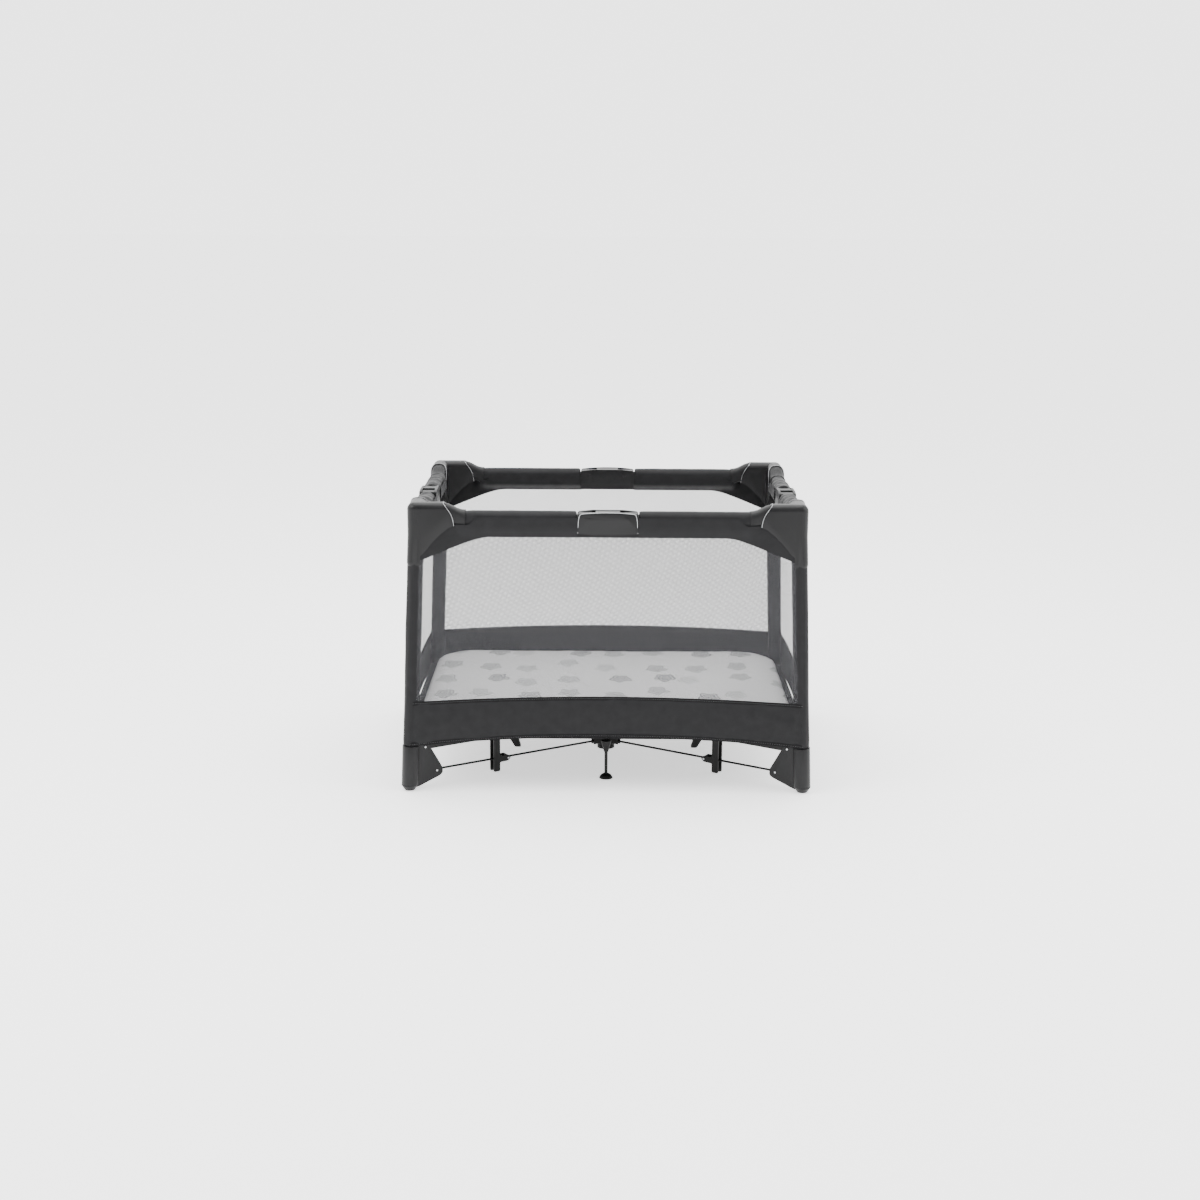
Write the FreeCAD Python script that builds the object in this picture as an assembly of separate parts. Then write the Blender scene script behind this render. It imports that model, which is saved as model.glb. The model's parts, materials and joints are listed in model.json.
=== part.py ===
import FreeCAD, Part
import math
import os

# Folding playpen, standing open.  Millimetres, +Z up, origin on the floor under the hub.
# X runs along the long sides, Y from front to back.  Every corner is drawn once, for the
# quarter with positive X and Y, and mirrored to the other three.

# ---- overall sizes -------------------------------------------------------------------
FOOT_X = 533.0            # floor contact of a corner foot from the middle, long way
FOOT_Y = 386.0            # the same, short way
HEIGHT = 788.0            # top of the corner housings
LEAN_PER_MM = 37.0 / 780  # how far a post leans towards the middle per mm of height
FOLD_DEG = 78.0           # how far the struts turn from open to folded

# ---- corner posts --------------------------------------------------------------------
POST_D = 30.0
POST_WALL = 1.5
POST_BOTTOM = 60.0
POST_BELOW_TOP = 108.0    # the tube ends this far under the top of the housing
POST_PLAY = 0.1           # gap round the post in its foot and housing
SLEEVE_PLAY = 0.5         # gap between the post and its fabric sleeve
SLEEVE_T = 5.5
SLEEVE_GAP = 2.0          # the sleeve stops this far under the housing
SLEEVE_BOTTOM = 126.0

# ---- corner housings -----------------------------------------------------------------
HOUSING_W = 46.0
HOUSING_EDGE_R = 20.0     # rounding of the upright outer edge
HOUSING_TOP_R = 18.0      # rounding over the top
HOUSING_DROP = 171.0      # how far the housing reaches down the post
HOUSING_KNEE_DOWN = 84.0  # above this the housing is straight, below it follows the post
HOUSING_TOE = ((0.0, 16.0, 14.0), (3.0, 20.0, 16.0), (10.0, 22.0, 17.0))  # up, half width, r
ARM_W = 44.8
ARM_X = 101.0             # reach of the long-side arm from the post axis
ARM_Y = 96.0              # reach of the short-side arm
ARM_LOW = 65.0            # lower edge of the arm's end below the top
ARM_PROFILE = ((0.0, 0.0), (0.71, 0.0), (0.84, 14.0), (0.93, 31.0), (0.98, 48.0), (1.0, 59.0),
               (0.97, 61.0), (0.86, 65.0), (0.63, 84.0), (0.40, 108.0), (0.22, 131.0),
               (0.0, 150.0))  # side outline: share of the reach, depth under the top
CHANNEL_HALF = 15.0
SLOT_HALF = 8.0
ROOF = 12.0
BLOCK_CUT = 104.0         # the slots stop this far under the top
SLOT_X_END = 3.6          # the slots stop this far short of the post axis
SLOT_Y_END = 5.4
PIN_INSIDE = 12.5         # the corner pins start this far inside the rail's middle plane
OVERCUT = 5.0             # how far a cutting tool runs past the solid it cuts
OVERLAP = 1.0             # how far a tool starts inside a face it has to clear

# ---- base linkage --------------------------------------------------------------------
FOOT_PIVOT_IN = 44.092    # strut pivot in the foot, inward of the floor contact
FOOT_PIVOT_Z = 115.0
HUB_PIVOT_R = 74.0
HUB_PIVOT_Z = 98.0
ROD_IN = 35.0             # a rod's pivot sits this far inward of the strut's pivot
ROD_DOWN = 73.0           # and this far below it
STRUT_W = 12.0            # the strut is a flat tube, STRUT_W across and STRUT_H high
STRUT_H = 18.0
STRUT_WALL = 1.5
STRUT_SOLID = 34.0        # solid length at each end
STRUT_SOLID_LEG = 14.0    # solid length each side of the middle leg's pivot
ROD_D = 6.0
ROD_EYE_D = 13.0
ROD_EYE_W = 5.0
PIN_D = 8.0
ROD_PIN_D = 5.0
PIN_CLEAR = 0.05
MID_LEG_AT = 0.43         # share of the strut from the corner foot to the middle leg
MID_LEG_IN = 8.0          # the leg reaches this far from its upper pivot towards the hub
MID_LEG_OUT = 12.0        # and this far away from the hub
MID_LEG_LUG = 9.0         # half height of the lug that holds the rod's pin
MID_LEG_ABOVE = 13.0
LEG_OUTLINE_R = 4.0
CHEEK = 5.0
FORK_PLAY = 0.5           # gap between a fork's cheek and what turns in it
PIN_HEAD = 1.0            # a pin stands this far out of its cheeks

FOOT_D = 46.0
FOOT_TOP = 124.0
FOOT_TOE_D = 28.0
FOOT_TOE_H = 14.0
FOOT_WEB = ((0.0, 6.0), (20.0, 6.0), (90.0, 26.0), (98.0, 33.0), (97.0, 48.0), (60.0, 112.0),
            (51.0, 124.0), (0.0, 124.0))  # outline of the web: inward from the foot, height
FOOT_WEB_R = 7.0
FOOT_SLOT = ((26.0, 20.0), (103.0, 38.0), (103.0, 140.0), (26.0, 140.0))  # between its cheeks

# ---- hub -----------------------------------------------------------------------------
HUB_D = 176.0
HUB_BOTTOM = 112.0
HUB_TOP = 148.0
HUB_RIM_R = 10.0
HUB_CORE_D = 44.0
HUB_CORE_BOTTOM = 60.0    # the upper hub ends and the lower bracket begins at this height
HUB_PAD_D = 50.0
HUB_PAD_T = 8.0
FORK_DROP = 11.0          # a fork reaches this far under its pin
FORK_ROOT = 3.0           # and this far up into the hub
ROD_CHEEK = 4.0
STRUT_FORK = (12.0, 11.0) # a fork's cheeks, behind and ahead of its pin
BRACE_FORK = (11.0, 10.0)
ROD_FORK_FROM = 10.0      # a rod's fork starts this far from the hub's middle
ROD_FORK_AHEAD = 8.0      # and runs on past its pin
ROD_FORK_BELOW = 8.0
ROD_FORK_ABOVE = 10.0
ROD_SLOT_BACK = 8.0       # room cut for the rod's eye, behind and ahead of its pin
ROD_SLOT_AHEAD = 20.0
ROD_SLOT_ABOVE = 20.0

# ---- brace legs under the hub --------------------------------------------------------
BRACE_PIVOT_R = 68.0
END_LEG_Y = 279.0         # dome foot in front of and behind the hub
SIDE_LEG_X = 257.0        # foot of a side leg
SIDE_LEG_LEAN = 46.0      # the side leg's top stands this far outside its foot
BRACE_D = 14.0
BRACE_CHEEK = 4.0
BRACE_ARM_D = 12.0
BRACE_EYE_D = 18.0
BRACE_FLAT = 18.0         # length and height of the flat part behind the eye
BRACE_FLAT_H = 14.0
END_LEG_D = 9.0
END_CONE = (12.0, 28.0, 28.0)   # lower and upper diameter and height of the cone at its top
END_CAP_H = 4.0
DOME_H = 14.0
SIDE_LEG_T = 16.0
SIDE_LEG_FOOT = 9.0       # half width at the floor
SIDE_LEG_HEAD = 22.0      # half width at the arm
DOME_D = 40.0
DOME_SINK = 2.0           # the leg runs this far into the dome
SIDE_LEG_OUTER = ((0.0, 2.0), (8.0, 9.0))  # outer shoulder: inward of the head, over the pivot
SIDE_LEG_INNER_UP = 6.0

# ---- top rails -----------------------------------------------------------------------
RAIL_D = 22.0
RAIL_WALL = 1.5
RAIL_AXIS_DOWN = 44.0     # rail axis below the top of the housings
RAIL_PIVOT_DOWN = 54.0    # corner pivot below the top of the housings
RAIL_PIVOT_IN_X = 16.6    # corner pivot from the post axis
RAIL_PIVOT_IN_Y = 18.4
RAIL_TONGUE_W = 12.0
TONGUE_INSIDE = 1.0       # the tongue's edges stand this far inside the tube's outside
TONGUE_IN_TUBE = 22.0     # how far the tongue runs into the tube
RAIL_TUBE_FROM = 45.0     # the round tube starts this far from the corner pivot
PAD_D = 48.0
PAD_PLAY = 0.2            # gap between the tube and its padding
PAD_FROM = 100.0          # the padding starts this far from the corner pivot

BRACKET_X = 80.0          # half length of the middle bracket on a long side
BRACKET_Y = 56.0
BRACKET_H = 60.0
BRACKET_TOP_DOWN = 22.0
BRACKET_W = 48.0
BLOCK_W = 34.0
BLOCK_GAP = 7.5           # between the bracket's web and the block at the end of a half rail
WEB_X = 32.0
WEB_Y = 9.0
PAD_GAP = 6.0
BLOCK_BELOW = 4.0         # the block stands this far inside the bracket, at the top
BLOCK_ABOVE = 6.0         # at the bottom
BLOCK_END = 2.0           # at its outer end
BLOCK_PLAY = 0.6          # and at each cheek
BLOCK_R = 5.0
TUBE_IN_BLOCK = 8.0
BRACKET_ARCH = 4.0        # how much lower the bracket's top is at its ends
BRACKET_FLAT = 0.5        # share of its length that is level
BRACKET_R = 6.0
WEB_ABOVE = 2.0           # the web stands this far inside the cheeks, at the bottom
WEB_BELOW = 1.0           # and at the top

# ---- fabric --------------------------------------------------------------------------
MESH_T = 2.0
SKIRT_T = 3.0
WALL_CLEAR = 2.5          # middle of the wall fabric outside the post's surface
SKIRT_TOP = 250.0
SKIRT_LOW_CORNER = 125.0
SKIRT_LOW_MIDDLE = 155.0
WALL_TOP_DOWN = 66.0
WALL_ARM_EDGE = ((0.27, 139.0), (0.52, 104.0), (0.85, 77.0), (1.04, 71.0), (1.10, 66.0))
                          # edge under a housing arm: share of its reach, depth under the top
BRACKET_NOTCH = 22.0      # the wall stops this much lower under a middle bracket
NOTCH_SLOPE = 2.0
UNDER_HOUSING = 5.0       # gap between the wall and the housings and brackets
INTO_SLEEVE = 6.0         # how far the wall runs on past the post axis into the sleeve
SLICE = 60.0              # half depth of the block that cuts a wall to its outline
BORE_PAST = 0.1           # the sleeve's bore runs on by this share of its length
HALF_GAP = 1.0            # each half wall stops this far from the wall's middle
HEM_STEPS = 8
HEM_POWER = 2.2           # how late the hem turns down towards the corner
FLOOR_T = 4.0
FLOOR_IN_X = 3.0          # edge of the floor inside the feet, long way
FLOOR_IN_Y = 1.0
FLOOR_CORNER_R = 70.0
MATTRESS_T = 44.0
MATTRESS_IN_X = 9.0       # edge of the mattress inside the feet, long way
MATTRESS_IN_Y = 2.0
MATTRESS_CORNER_R = 110.0

# ---- drawing -------------------------------------------------------------------------
ARC_STEPS = 3             # straight pieces in a rounded corner of an outline
MOST_OF_EDGE = 0.45       # a rounded corner uses at most this share of an edge

# ---- sizes that follow from the ones above -------------------------------------------
ALPHA = math.atan2(FOOT_Y, FOOT_X)
FOOT_R = math.hypot(FOOT_X, FOOT_Y)
FOOT_PIVOT_R = FOOT_R - FOOT_PIVOT_IN
STRUT_RUN = FOOT_PIVOT_R - HUB_PIVOT_R
STRUT_RISE = FOOT_PIVOT_Z - HUB_PIVOT_Z
RAIL_Z = HEIGHT - RAIL_AXIS_DOWN
PIVOT_Z = HEIGHT - RAIL_PIVOT_DOWN
SLEEVE_BORE_D = POST_D + 2 * SLEEVE_PLAY
SLEEVE_D = SLEEVE_BORE_D + 2 * SLEEVE_T
WALL_OUT = POST_D / 2 + WALL_CLEAR
FLOOR_HALF_X = FOOT_X - FLOOR_IN_X
FLOOR_HALF_Y = FOOT_Y - FLOOR_IN_Y
MATTRESS_HALF_X = FOOT_X - MATTRESS_IN_X
MATTRESS_HALF_Y = FOOT_Y - MATTRESS_IN_Y


def vec(x, y, z):
    return FreeCAD.Vector(x, y, z)


def post_xy(z):
    """Where the leaning post axis crosses height z."""
    r = FOOT_R - LEAN_PER_MM * z
    return r * math.cos(ALPHA), r * math.sin(ALPHA)


TOP_X, TOP_Y = post_xy(PIVOT_Z)
PIVOT_X = TOP_X - RAIL_PIVOT_IN_X
PIVOT_Y = TOP_Y - RAIL_PIVOT_IN_Y
RUN_X = STRUT_RUN * math.cos(ALPHA)
RUN_Y = STRUT_RUN * math.sin(ALPHA)
RISE_X = STRUT_RISE * math.cos(ALPHA)
RISE_Y = STRUT_RISE * math.sin(ALPHA)

DIAGONALS = (ALPHA, math.pi - ALPHA, math.pi + ALPHA, -ALPHA)
CORNERS = {"front_left": (-1, -1), "front_right": (1, -1),
           "back_left": (-1, 1), "back_right": (1, 1)}


# ---- helpers -------------------------------------------------------------------------
def rod_between(a, b, d, bore=0.0):
    """A round bar or tube from point a to point b."""
    run = b - a
    bar = Part.makeCylinder(d / 2, run.Length, a, run)
    if bore:
        bar = bar.cut(Part.makeCylinder(bore / 2, run.Length, a, run))
    return bar


def box(x0, x1, y0, y1, z0, z1):
    return Part.makeBox(x1 - x0, y1 - y0, z1 - z0, vec(x0, y0, z0))


def plate_xz(points, y0, y1):
    """A plate with its outline in the XZ plane, from y0 to y1."""
    wire = Part.makePolygon([vec(x, y0, z) for x, z in points + points[:1]])
    return Part.Face(wire).extrude(vec(0, y1 - y0, 0))


def plate_yz(points, x0, x1):
    wire = Part.makePolygon([vec(x0, y, z) for y, z in points + points[:1]])
    return Part.Face(wire).extrude(vec(x1 - x0, 0, 0))


def rounded(points, r):
    """The outline with every corner cut back into a short arc of points."""
    out = []
    n = len(points)
    for i in range(n):
        p, q, s = points[i - 1], points[i], points[(i + 1) % n]
        back = (p[0] - q[0], p[1] - q[1])
        ahead = (s[0] - q[0], s[1] - q[1])
        lb, la = math.hypot(*back), math.hypot(*ahead)
        cut = min(r, lb * MOST_OF_EDGE, la * MOST_OF_EDGE)
        a = (q[0] + back[0] / lb * cut, q[1] + back[1] / lb * cut)
        b = (q[0] + ahead[0] / la * cut, q[1] + ahead[1] / la * cut)
        for k in range(ARC_STEPS + 1):
            t = k / ARC_STEPS
            out.append(((1 - t) ** 2 * a[0] + 2 * t * (1 - t) * q[0] + t * t * b[0],
                        (1 - t) ** 2 * a[1] + 2 * t * (1 - t) * q[1] + t * t * b[1]))
    return out


def rounded_rect(half_x, half_y, r, cx, cy, z):
    """A rounded rectangle as a wire."""
    pts = [(cx + half_x, cy - half_y + r), (cx + half_x, cy + half_y - r),
           (cx + half_x - r, cy + half_y), (cx - half_x + r, cy + half_y),
           (cx - half_x, cy + half_y - r), (cx - half_x, cy - half_y + r),
           (cx - half_x + r, cy - half_y), (cx + half_x - r, cy - half_y)]
    k = r * (1 - math.sqrt(0.5))
    mids = [(cx + half_x - k, cy + half_y - k), (cx - half_x + k, cy + half_y - k),
            (cx - half_x + k, cy - half_y + k), (cx + half_x - k, cy - half_y + k)]
    p = [vec(x, y, z) for x, y in pts]
    m = [vec(x, y, z) for x, y in mids]
    edges = []
    for i in range(4):
        edges.append(Part.makeLine(p[2 * i], p[2 * i + 1]))
        edges.append(Part.Arc(p[2 * i + 1], m[i], p[(2 * i + 2) % 8]).toShape())
    return Part.Wire(edges)


def slab(half_x, half_y, r, z0, z1):
    return Part.Face(rounded_rect(half_x, half_y, r, 0, 0, z0)).extrude(vec(0, 0, z1 - z0))


def along_diagonal(shape):
    """Turn a shape drawn with X along the diagonal into its place."""
    turned = shape.copy()
    turned.rotate(vec(0, 0, 0), vec(0, 0, 1), math.degrees(ALPHA))
    return turned


def cross_pin(r, z, d, half):
    """A pin across the diagonal plane."""
    return rod_between(vec(r, -half, z), vec(r, half, z), d)


def one(shape):
    """The shape as one clean solid."""
    clean = shape.removeSplitter()
    return clean.Solids[0] if len(clean.Solids) == 1 else clean


def mirrored(shape, sx, sy):
    out = shape.copy()
    if sx < 0:
        out = out.mirror(vec(0, 0, 0), vec(1, 0, 0))
    if sy < 0:
        out = out.mirror(vec(0, 0, 0), vec(0, 1, 0))
    return out


def save(name, shape):
    shape.exportStep("parts/%s.step" % name)


# ---- corner --------------------------------------------------------------------------
def post():
    top = HEIGHT - POST_BELOW_TOP
    a = vec(*post_xy(POST_BOTTOM), POST_BOTTOM)
    b = vec(*post_xy(top), top)
    return rod_between(a, b, POST_D, POST_D - 2 * POST_WALL)


def arm(reach):
    """A housing arm along -X from the post axis, with a round top."""
    side = ARM_W / 2
    low = HEIGHT - HOUSING_DROP
    shoulder = HEIGHT - HOUSING_TOP_R
    flat = side - HOUSING_TOP_R
    k = HOUSING_TOP_R * math.sqrt(0.5)
    section = [Part.makeLine(vec(0, side, low), vec(0, side, shoulder)),
               Part.Arc(vec(0, side, shoulder), vec(0, flat + k, shoulder + k),
                        vec(0, flat, HEIGHT)).toShape(),
               Part.makeLine(vec(0, flat, HEIGHT), vec(0, -flat, HEIGHT)),
               Part.Arc(vec(0, -flat, HEIGHT), vec(0, -flat - k, shoulder + k),
                        vec(0, -side, shoulder)).toShape(),
               Part.makeLine(vec(0, -side, shoulder), vec(0, -side, low)),
               Part.makeLine(vec(0, -side, low), vec(0, side, low))]
    bar = Part.Face(Part.Wire(section)).extrude(vec(-reach, 0, 0))
    outline = plate_xz([(-reach * share, HEIGHT - down) for share, down in ARM_PROFILE],
                       -side - OVERLAP, side + OVERLAP)
    return bar.common(outline)


def housing():
    """Corner housing: a column on the post, two arms for the rails and their pivot pins."""
    bottom = HEIGHT - HOUSING_DROP
    knee = HEIGHT - HOUSING_KNEE_DOWN
    w = HOUSING_W / 2
    wires = []
    for up, half, r in HOUSING_TOE:
        x, y = post_xy(bottom + up)
        wires.append(rounded_rect(half, half, r, x, y, bottom + up))
    wires.append(rounded_rect(w, w, HOUSING_EDGE_R, TOP_X, TOP_Y, knee))
    body = Part.makeLoft(wires, True, True)
    column = Part.Face(wires[-1]).extrude(vec(0, 0, HEIGHT - knee))
    rim = [e for e in column.Edges if e.BoundBox.ZMin > HEIGHT - 1]
    body = body.fuse(column.makeFillet(HOUSING_TOP_R, rim))
    for reach, turn in ((ARM_X, 0), (ARM_Y, 90)):
        side_arm = arm(reach)
        side_arm.rotate(vec(0, 0, 0), vec(0, 0, 1), turn)
        side_arm.translate(vec(TOP_X, TOP_Y, 0))
        body = body.fuse(side_arm)
    roof = HEIGHT - ROOF
    cut = HEIGHT - BLOCK_CUT
    low = bottom - OVERCUT
    post_top = HEIGHT - POST_BELOW_TOP
    tools = [box(TOP_X - ARM_X - OVERCUT, TOP_X - w, TOP_Y - CHANNEL_HALF, TOP_Y + CHANNEL_HALF,
                 low, roof),
             box(TOP_X - CHANNEL_HALF, TOP_X + CHANNEL_HALF, TOP_Y - ARM_Y - OVERCUT, TOP_Y - w,
                 low, roof),
             box(TOP_X - w - OVERLAP, TOP_X - SLOT_X_END, TOP_Y - SLOT_HALF, TOP_Y + SLOT_HALF,
                 cut, roof),
             box(TOP_X - SLOT_HALF, TOP_X + SLOT_HALF, TOP_Y - w - OVERLAP, TOP_Y - SLOT_Y_END,
                 cut, roof),
             rod_between(vec(*post_xy(low), low), vec(*post_xy(post_top), post_top),
                         POST_D + 2 * POST_PLAY)]
    for tool in tools:
        body = body.cut(tool)
    outside = ARM_W / 2 - PIN_HEAD
    pins = [rod_between(vec(PIVOT_X, TOP_Y - PIN_INSIDE - PIN_HEAD, PIVOT_Z),
                        vec(PIVOT_X, TOP_Y + outside, PIVOT_Z), PIN_D),
            rod_between(vec(TOP_X - PIN_INSIDE, PIVOT_Y, PIVOT_Z),
                        vec(TOP_X + outside, PIVOT_Y, PIVOT_Z), PIN_D)]
    for pin in pins:
        body = body.fuse(pin)
    return one(body)


def foot():
    """Corner foot: a socket for the post and a web that carries both pivots."""
    def axis(z):
        return vec(FOOT_R - LEAN_PER_MM * z, 0, z)
    body = Part.makeCone(FOOT_TOE_D / 2, FOOT_D / 2, FOOT_TOE_H, vec(FOOT_R, 0, 0))
    body = body.fuse(rod_between(axis(FOOT_TOE_H), axis(FOOT_TOP), FOOT_D))
    web = rounded([(FOOT_R - inward, z) for inward, z in FOOT_WEB], FOOT_WEB_R)
    half = STRUT_W / 2 + FORK_PLAY
    body = body.fuse(plate_xz(web, -half - CHEEK, half + CHEEK))
    body = body.cut(plate_xz([(FOOT_R - inward, z) for inward, z in FOOT_SLOT], -half, half))
    body = body.cut(rod_between(axis(POST_BOTTOM), axis(FOOT_TOP + OVERCUT),
                                POST_D + 2 * POST_PLAY))
    pin_half = half + CHEEK + PIN_HEAD
    body = body.fuse(cross_pin(FOOT_PIVOT_R, FOOT_PIVOT_Z, PIN_D, pin_half))
    body = body.fuse(cross_pin(FOOT_PIVOT_R - ROD_IN, FOOT_PIVOT_Z - ROD_DOWN, ROD_PIN_D,
                               pin_half))
    return one(along_diagonal(body))


def strut():
    """Base strut from the hub to the corner foot: a flat tube with solid round ends."""
    a = vec(HUB_PIVOT_R, 0, HUB_PIVOT_Z)
    b = vec(FOOT_PIVOT_R, 0, FOOT_PIVOT_Z)
    d = (b - a).normalize()
    leg = a + d * ((b - a).Length * (1 - MID_LEG_AT))

    def bar(p, q, high, wide):
        up = vec(-d.z, 0, d.x) * (high / 2)
        side = vec(0, wide / 2, 0)
        wire = Part.makePolygon([p + up - side, q + up - side, q - up - side, p - up - side,
                                 p + up - side])
        return Part.Face(wire).extrude(side * 2)

    body = bar(a, b, STRUT_H, STRUT_W)
    for p in (a, b):
        body = body.fuse(rod_between(p - vec(0, STRUT_W / 2, 0), p + vec(0, STRUT_W / 2, 0),
                                     STRUT_H))
    for p, q in ((a + d * STRUT_SOLID, leg - d * STRUT_SOLID_LEG),
                 (leg + d * STRUT_SOLID_LEG, b - d * STRUT_SOLID)):
        body = body.cut(bar(p, q, STRUT_H - 2 * STRUT_WALL, STRUT_W - 2 * STRUT_WALL))
    for p in (a, b, leg):
        body = body.cut(rod_between(p - vec(0, STRUT_W, 0), p + vec(0, STRUT_W, 0),
                                    PIN_D + 2 * PIN_CLEAR))
    return one(along_diagonal(body))


def rod():
    """Thin lower rod that keeps posts, legs and hub upright."""
    a = vec(HUB_PIVOT_R - ROD_IN, 0, HUB_PIVOT_Z - ROD_DOWN)
    b = vec(FOOT_PIVOT_R - ROD_IN, 0, FOOT_PIVOT_Z - ROD_DOWN)
    d = (b - a).normalize()
    leg = a + d * ((b - a).Length * (1 - MID_LEG_AT))
    body = rod_between(a, b, ROD_D)
    for p in (a, b, leg):
        body = body.fuse(rod_between(p - vec(0, ROD_EYE_W / 2, 0), p + vec(0, ROD_EYE_W / 2, 0),
                                     ROD_EYE_D))
    for p in (a, b, leg):
        body = body.cut(rod_between(p - vec(0, ROD_EYE_W, 0), p + vec(0, ROD_EYE_W, 0),
                                    ROD_PIN_D + 2 * PIN_CLEAR))
    return one(along_diagonal(body))


def mid_leg():
    """Upright middle leg: two cheeks held together by the two pivot pins."""
    r = FOOT_PIVOT_R - MID_LEG_AT * STRUT_RUN
    z = FOOT_PIVOT_Z - MID_LEG_AT * STRUT_RISE
    half = STRUT_W / 2 + FORK_PLAY
    pin_r, pin_z = r - ROD_IN, z - ROD_DOWN
    lug = MID_LEG_LUG
    side = rounded([(r + MID_LEG_OUT, 0), (r + MID_LEG_OUT, z + MID_LEG_ABOVE),
                    (r - MID_LEG_IN, z + MID_LEG_ABOVE), (r - MID_LEG_IN, pin_z + lug),
                    (pin_r, pin_z + lug), (pin_r - lug, pin_z), (pin_r, pin_z - lug),
                    (r - MID_LEG_IN, pin_z - lug), (r - MID_LEG_IN, 0)], LEG_OUTLINE_R)
    body = plate_xz(side, half, half + CHEEK).fuse(plate_xz(side, -half - CHEEK, -half))
    pin_half = half + CHEEK + PIN_HEAD
    body = body.fuse(cross_pin(r, z, PIN_D, pin_half))
    body = body.fuse(cross_pin(pin_r, pin_z, ROD_PIN_D, pin_half))
    return one(along_diagonal(body))


# ---- cover ---------------------------------------------------------------------------
def wall_outline(run, half_bracket, reach, corner):
    """Outline of half a wall: distance from the middle, height."""
    top = HEIGHT - WALL_TOP_DOWN
    notch = top - BRACKET_NOTCH
    under = HEIGHT - HOUSING_DROP - UNDER_HOUSING
    pts = [(HALF_GAP, SKIRT_LOW_MIDDLE)]
    for k in range(1, HEM_STEPS + 1):
        t = k / HEM_STEPS
        drop = (SKIRT_LOW_MIDDLE - SKIRT_LOW_CORNER) * t ** HEM_POWER
        pts.append((HALF_GAP + (run - HALF_GAP) * t, SKIRT_LOW_MIDDLE - drop))
    pts += [(run, under), (corner - WALL_ARM_EDGE[0][0] * reach, under)]
    pts += [(corner - share * reach, HEIGHT - down) for share, down in WALL_ARM_EDGE]
    pts += [(half_bracket + UNDER_HOUSING, top), (half_bracket + UNDER_HOUSING - NOTCH_SLOPE, notch),
            (HALF_GAP, notch)]
    return pts


def leaning_slab(slope, offset, thick, lo, hi):
    """Cross-section of a wall that follows the lean of the posts: (across, z)."""
    a, b = offset - thick / 2, offset + thick / 2
    return [(slope(lo) + a, lo), (slope(lo) + b, lo), (slope(hi) + b, hi), (slope(hi) + a, hi)]


def wall():
    """A quarter of the cover: post sleeve, half of a long wall, half of a short wall."""
    z0, z1 = SLEEVE_BOTTOM, HEIGHT - HOUSING_DROP - SLEEVE_GAP
    a, b = vec(*post_xy(z0), z0), vec(*post_xy(z1), z1)
    body = rod_between(a, b, SLEEVE_D)
    run_x, run_y = post_xy(z1)[0] + INTO_SLEEVE, post_xy(z1)[1] + INTO_SLEEVE
    across_y = lambda z: post_xy(z)[1]
    across_x = lambda z: post_xy(z)[0]
    out_x = plate_xz(wall_outline(run_x, BRACKET_X, ARM_X, TOP_X), FOOT_Y - SLICE, FOOT_Y + SLICE)
    out_y = plate_yz(wall_outline(run_y, BRACKET_Y, ARM_Y, TOP_Y), FOOT_X - SLICE, FOOT_X + SLICE)
    low = SKIRT_LOW_CORNER - OVERCUT
    for thick, lo, hi in ((MESH_T, low, HEIGHT), (SKIRT_T, low, SKIRT_TOP)):
        long_side = plate_yz(leaning_slab(across_y, WALL_OUT, thick, lo, hi), 0, FOOT_X + SLICE)
        body = body.fuse(long_side.common(out_x))
        short_side = plate_xz(leaning_slab(across_x, WALL_OUT, thick, lo, hi), 0, FOOT_Y + SLICE)
        body = body.fuse(short_side.common(out_y))
    body = body.cut(rod_between(a - (b - a) * BORE_PAST, b + (b - a) * BORE_PAST, SLEEVE_BORE_D))
    return one(body)


# ---- top rails -----------------------------------------------------------------------
def rail(pivot, run, rise, web):
    """Half a top rail along X, centred on Y = 0, from the corner pivot to the middle pivot."""
    mid = pivot - run
    mid_z = PIVOT_Z + rise
    top = HEIGHT - BRACKET_TOP_DOWN - BLOCK_BELOW
    bottom = HEIGHT - BRACKET_TOP_DOWN - BRACKET_H + BLOCK_ABOVE
    half_bracket = BRACKET_X if web == WEB_X else BRACKET_Y
    body = rod_between(vec(pivot - RAIL_TUBE_FROM, 0, RAIL_Z), vec(half_bracket - TUBE_IN_BLOCK, 0, RAIL_Z),
                       RAIL_D, RAIL_D - 2 * RAIL_WALL)
    h = RAIL_D / 2 - TONGUE_INSIDE
    tongue_end = pivot - RAIL_TUBE_FROM - TONGUE_IN_TUBE
    block_end = half_bracket - BLOCK_END
    tongue = plate_xz([(pivot, PIVOT_Z + h), (pivot - RAIL_TUBE_FROM, RAIL_Z + h),
                       (tongue_end, RAIL_Z + h),
                       (tongue_end, RAIL_Z - h),
                       (pivot - RAIL_TUBE_FROM, RAIL_Z - h), (pivot, PIVOT_Z - h)],
                      -RAIL_TONGUE_W / 2, RAIL_TONGUE_W / 2)
    tongue = tongue.fuse(rod_between(vec(pivot, -RAIL_TONGUE_W / 2, PIVOT_Z),
                                     vec(pivot, RAIL_TONGUE_W / 2, PIVOT_Z), 2 * h))
    block = plate_xz(rounded([(web + BLOCK_GAP, bottom), (block_end, bottom),
                              (block_end, top), (web + BLOCK_GAP, top)], BLOCK_R),
                     -BLOCK_W / 2, BLOCK_W / 2)
    body = body.fuse(tongue).fuse(block)
    for x, z in ((pivot, PIVOT_Z), (mid, mid_z)):
        body = body.cut(rod_between(vec(x, -BLOCK_W, z), vec(x, BLOCK_W, z),
                                    PIN_D + 2 * PIN_CLEAR))
    return one(body)


def pad(pivot, half_bracket):
    """Padded sleeve of half a top rail along X, centred on Y = 0."""
    return rod_between(vec(half_bracket + PAD_GAP, 0, RAIL_Z), vec(pivot - PAD_FROM, 0, RAIL_Z),
                       PAD_D, RAIL_D + 2 * PAD_PLAY)


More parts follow.
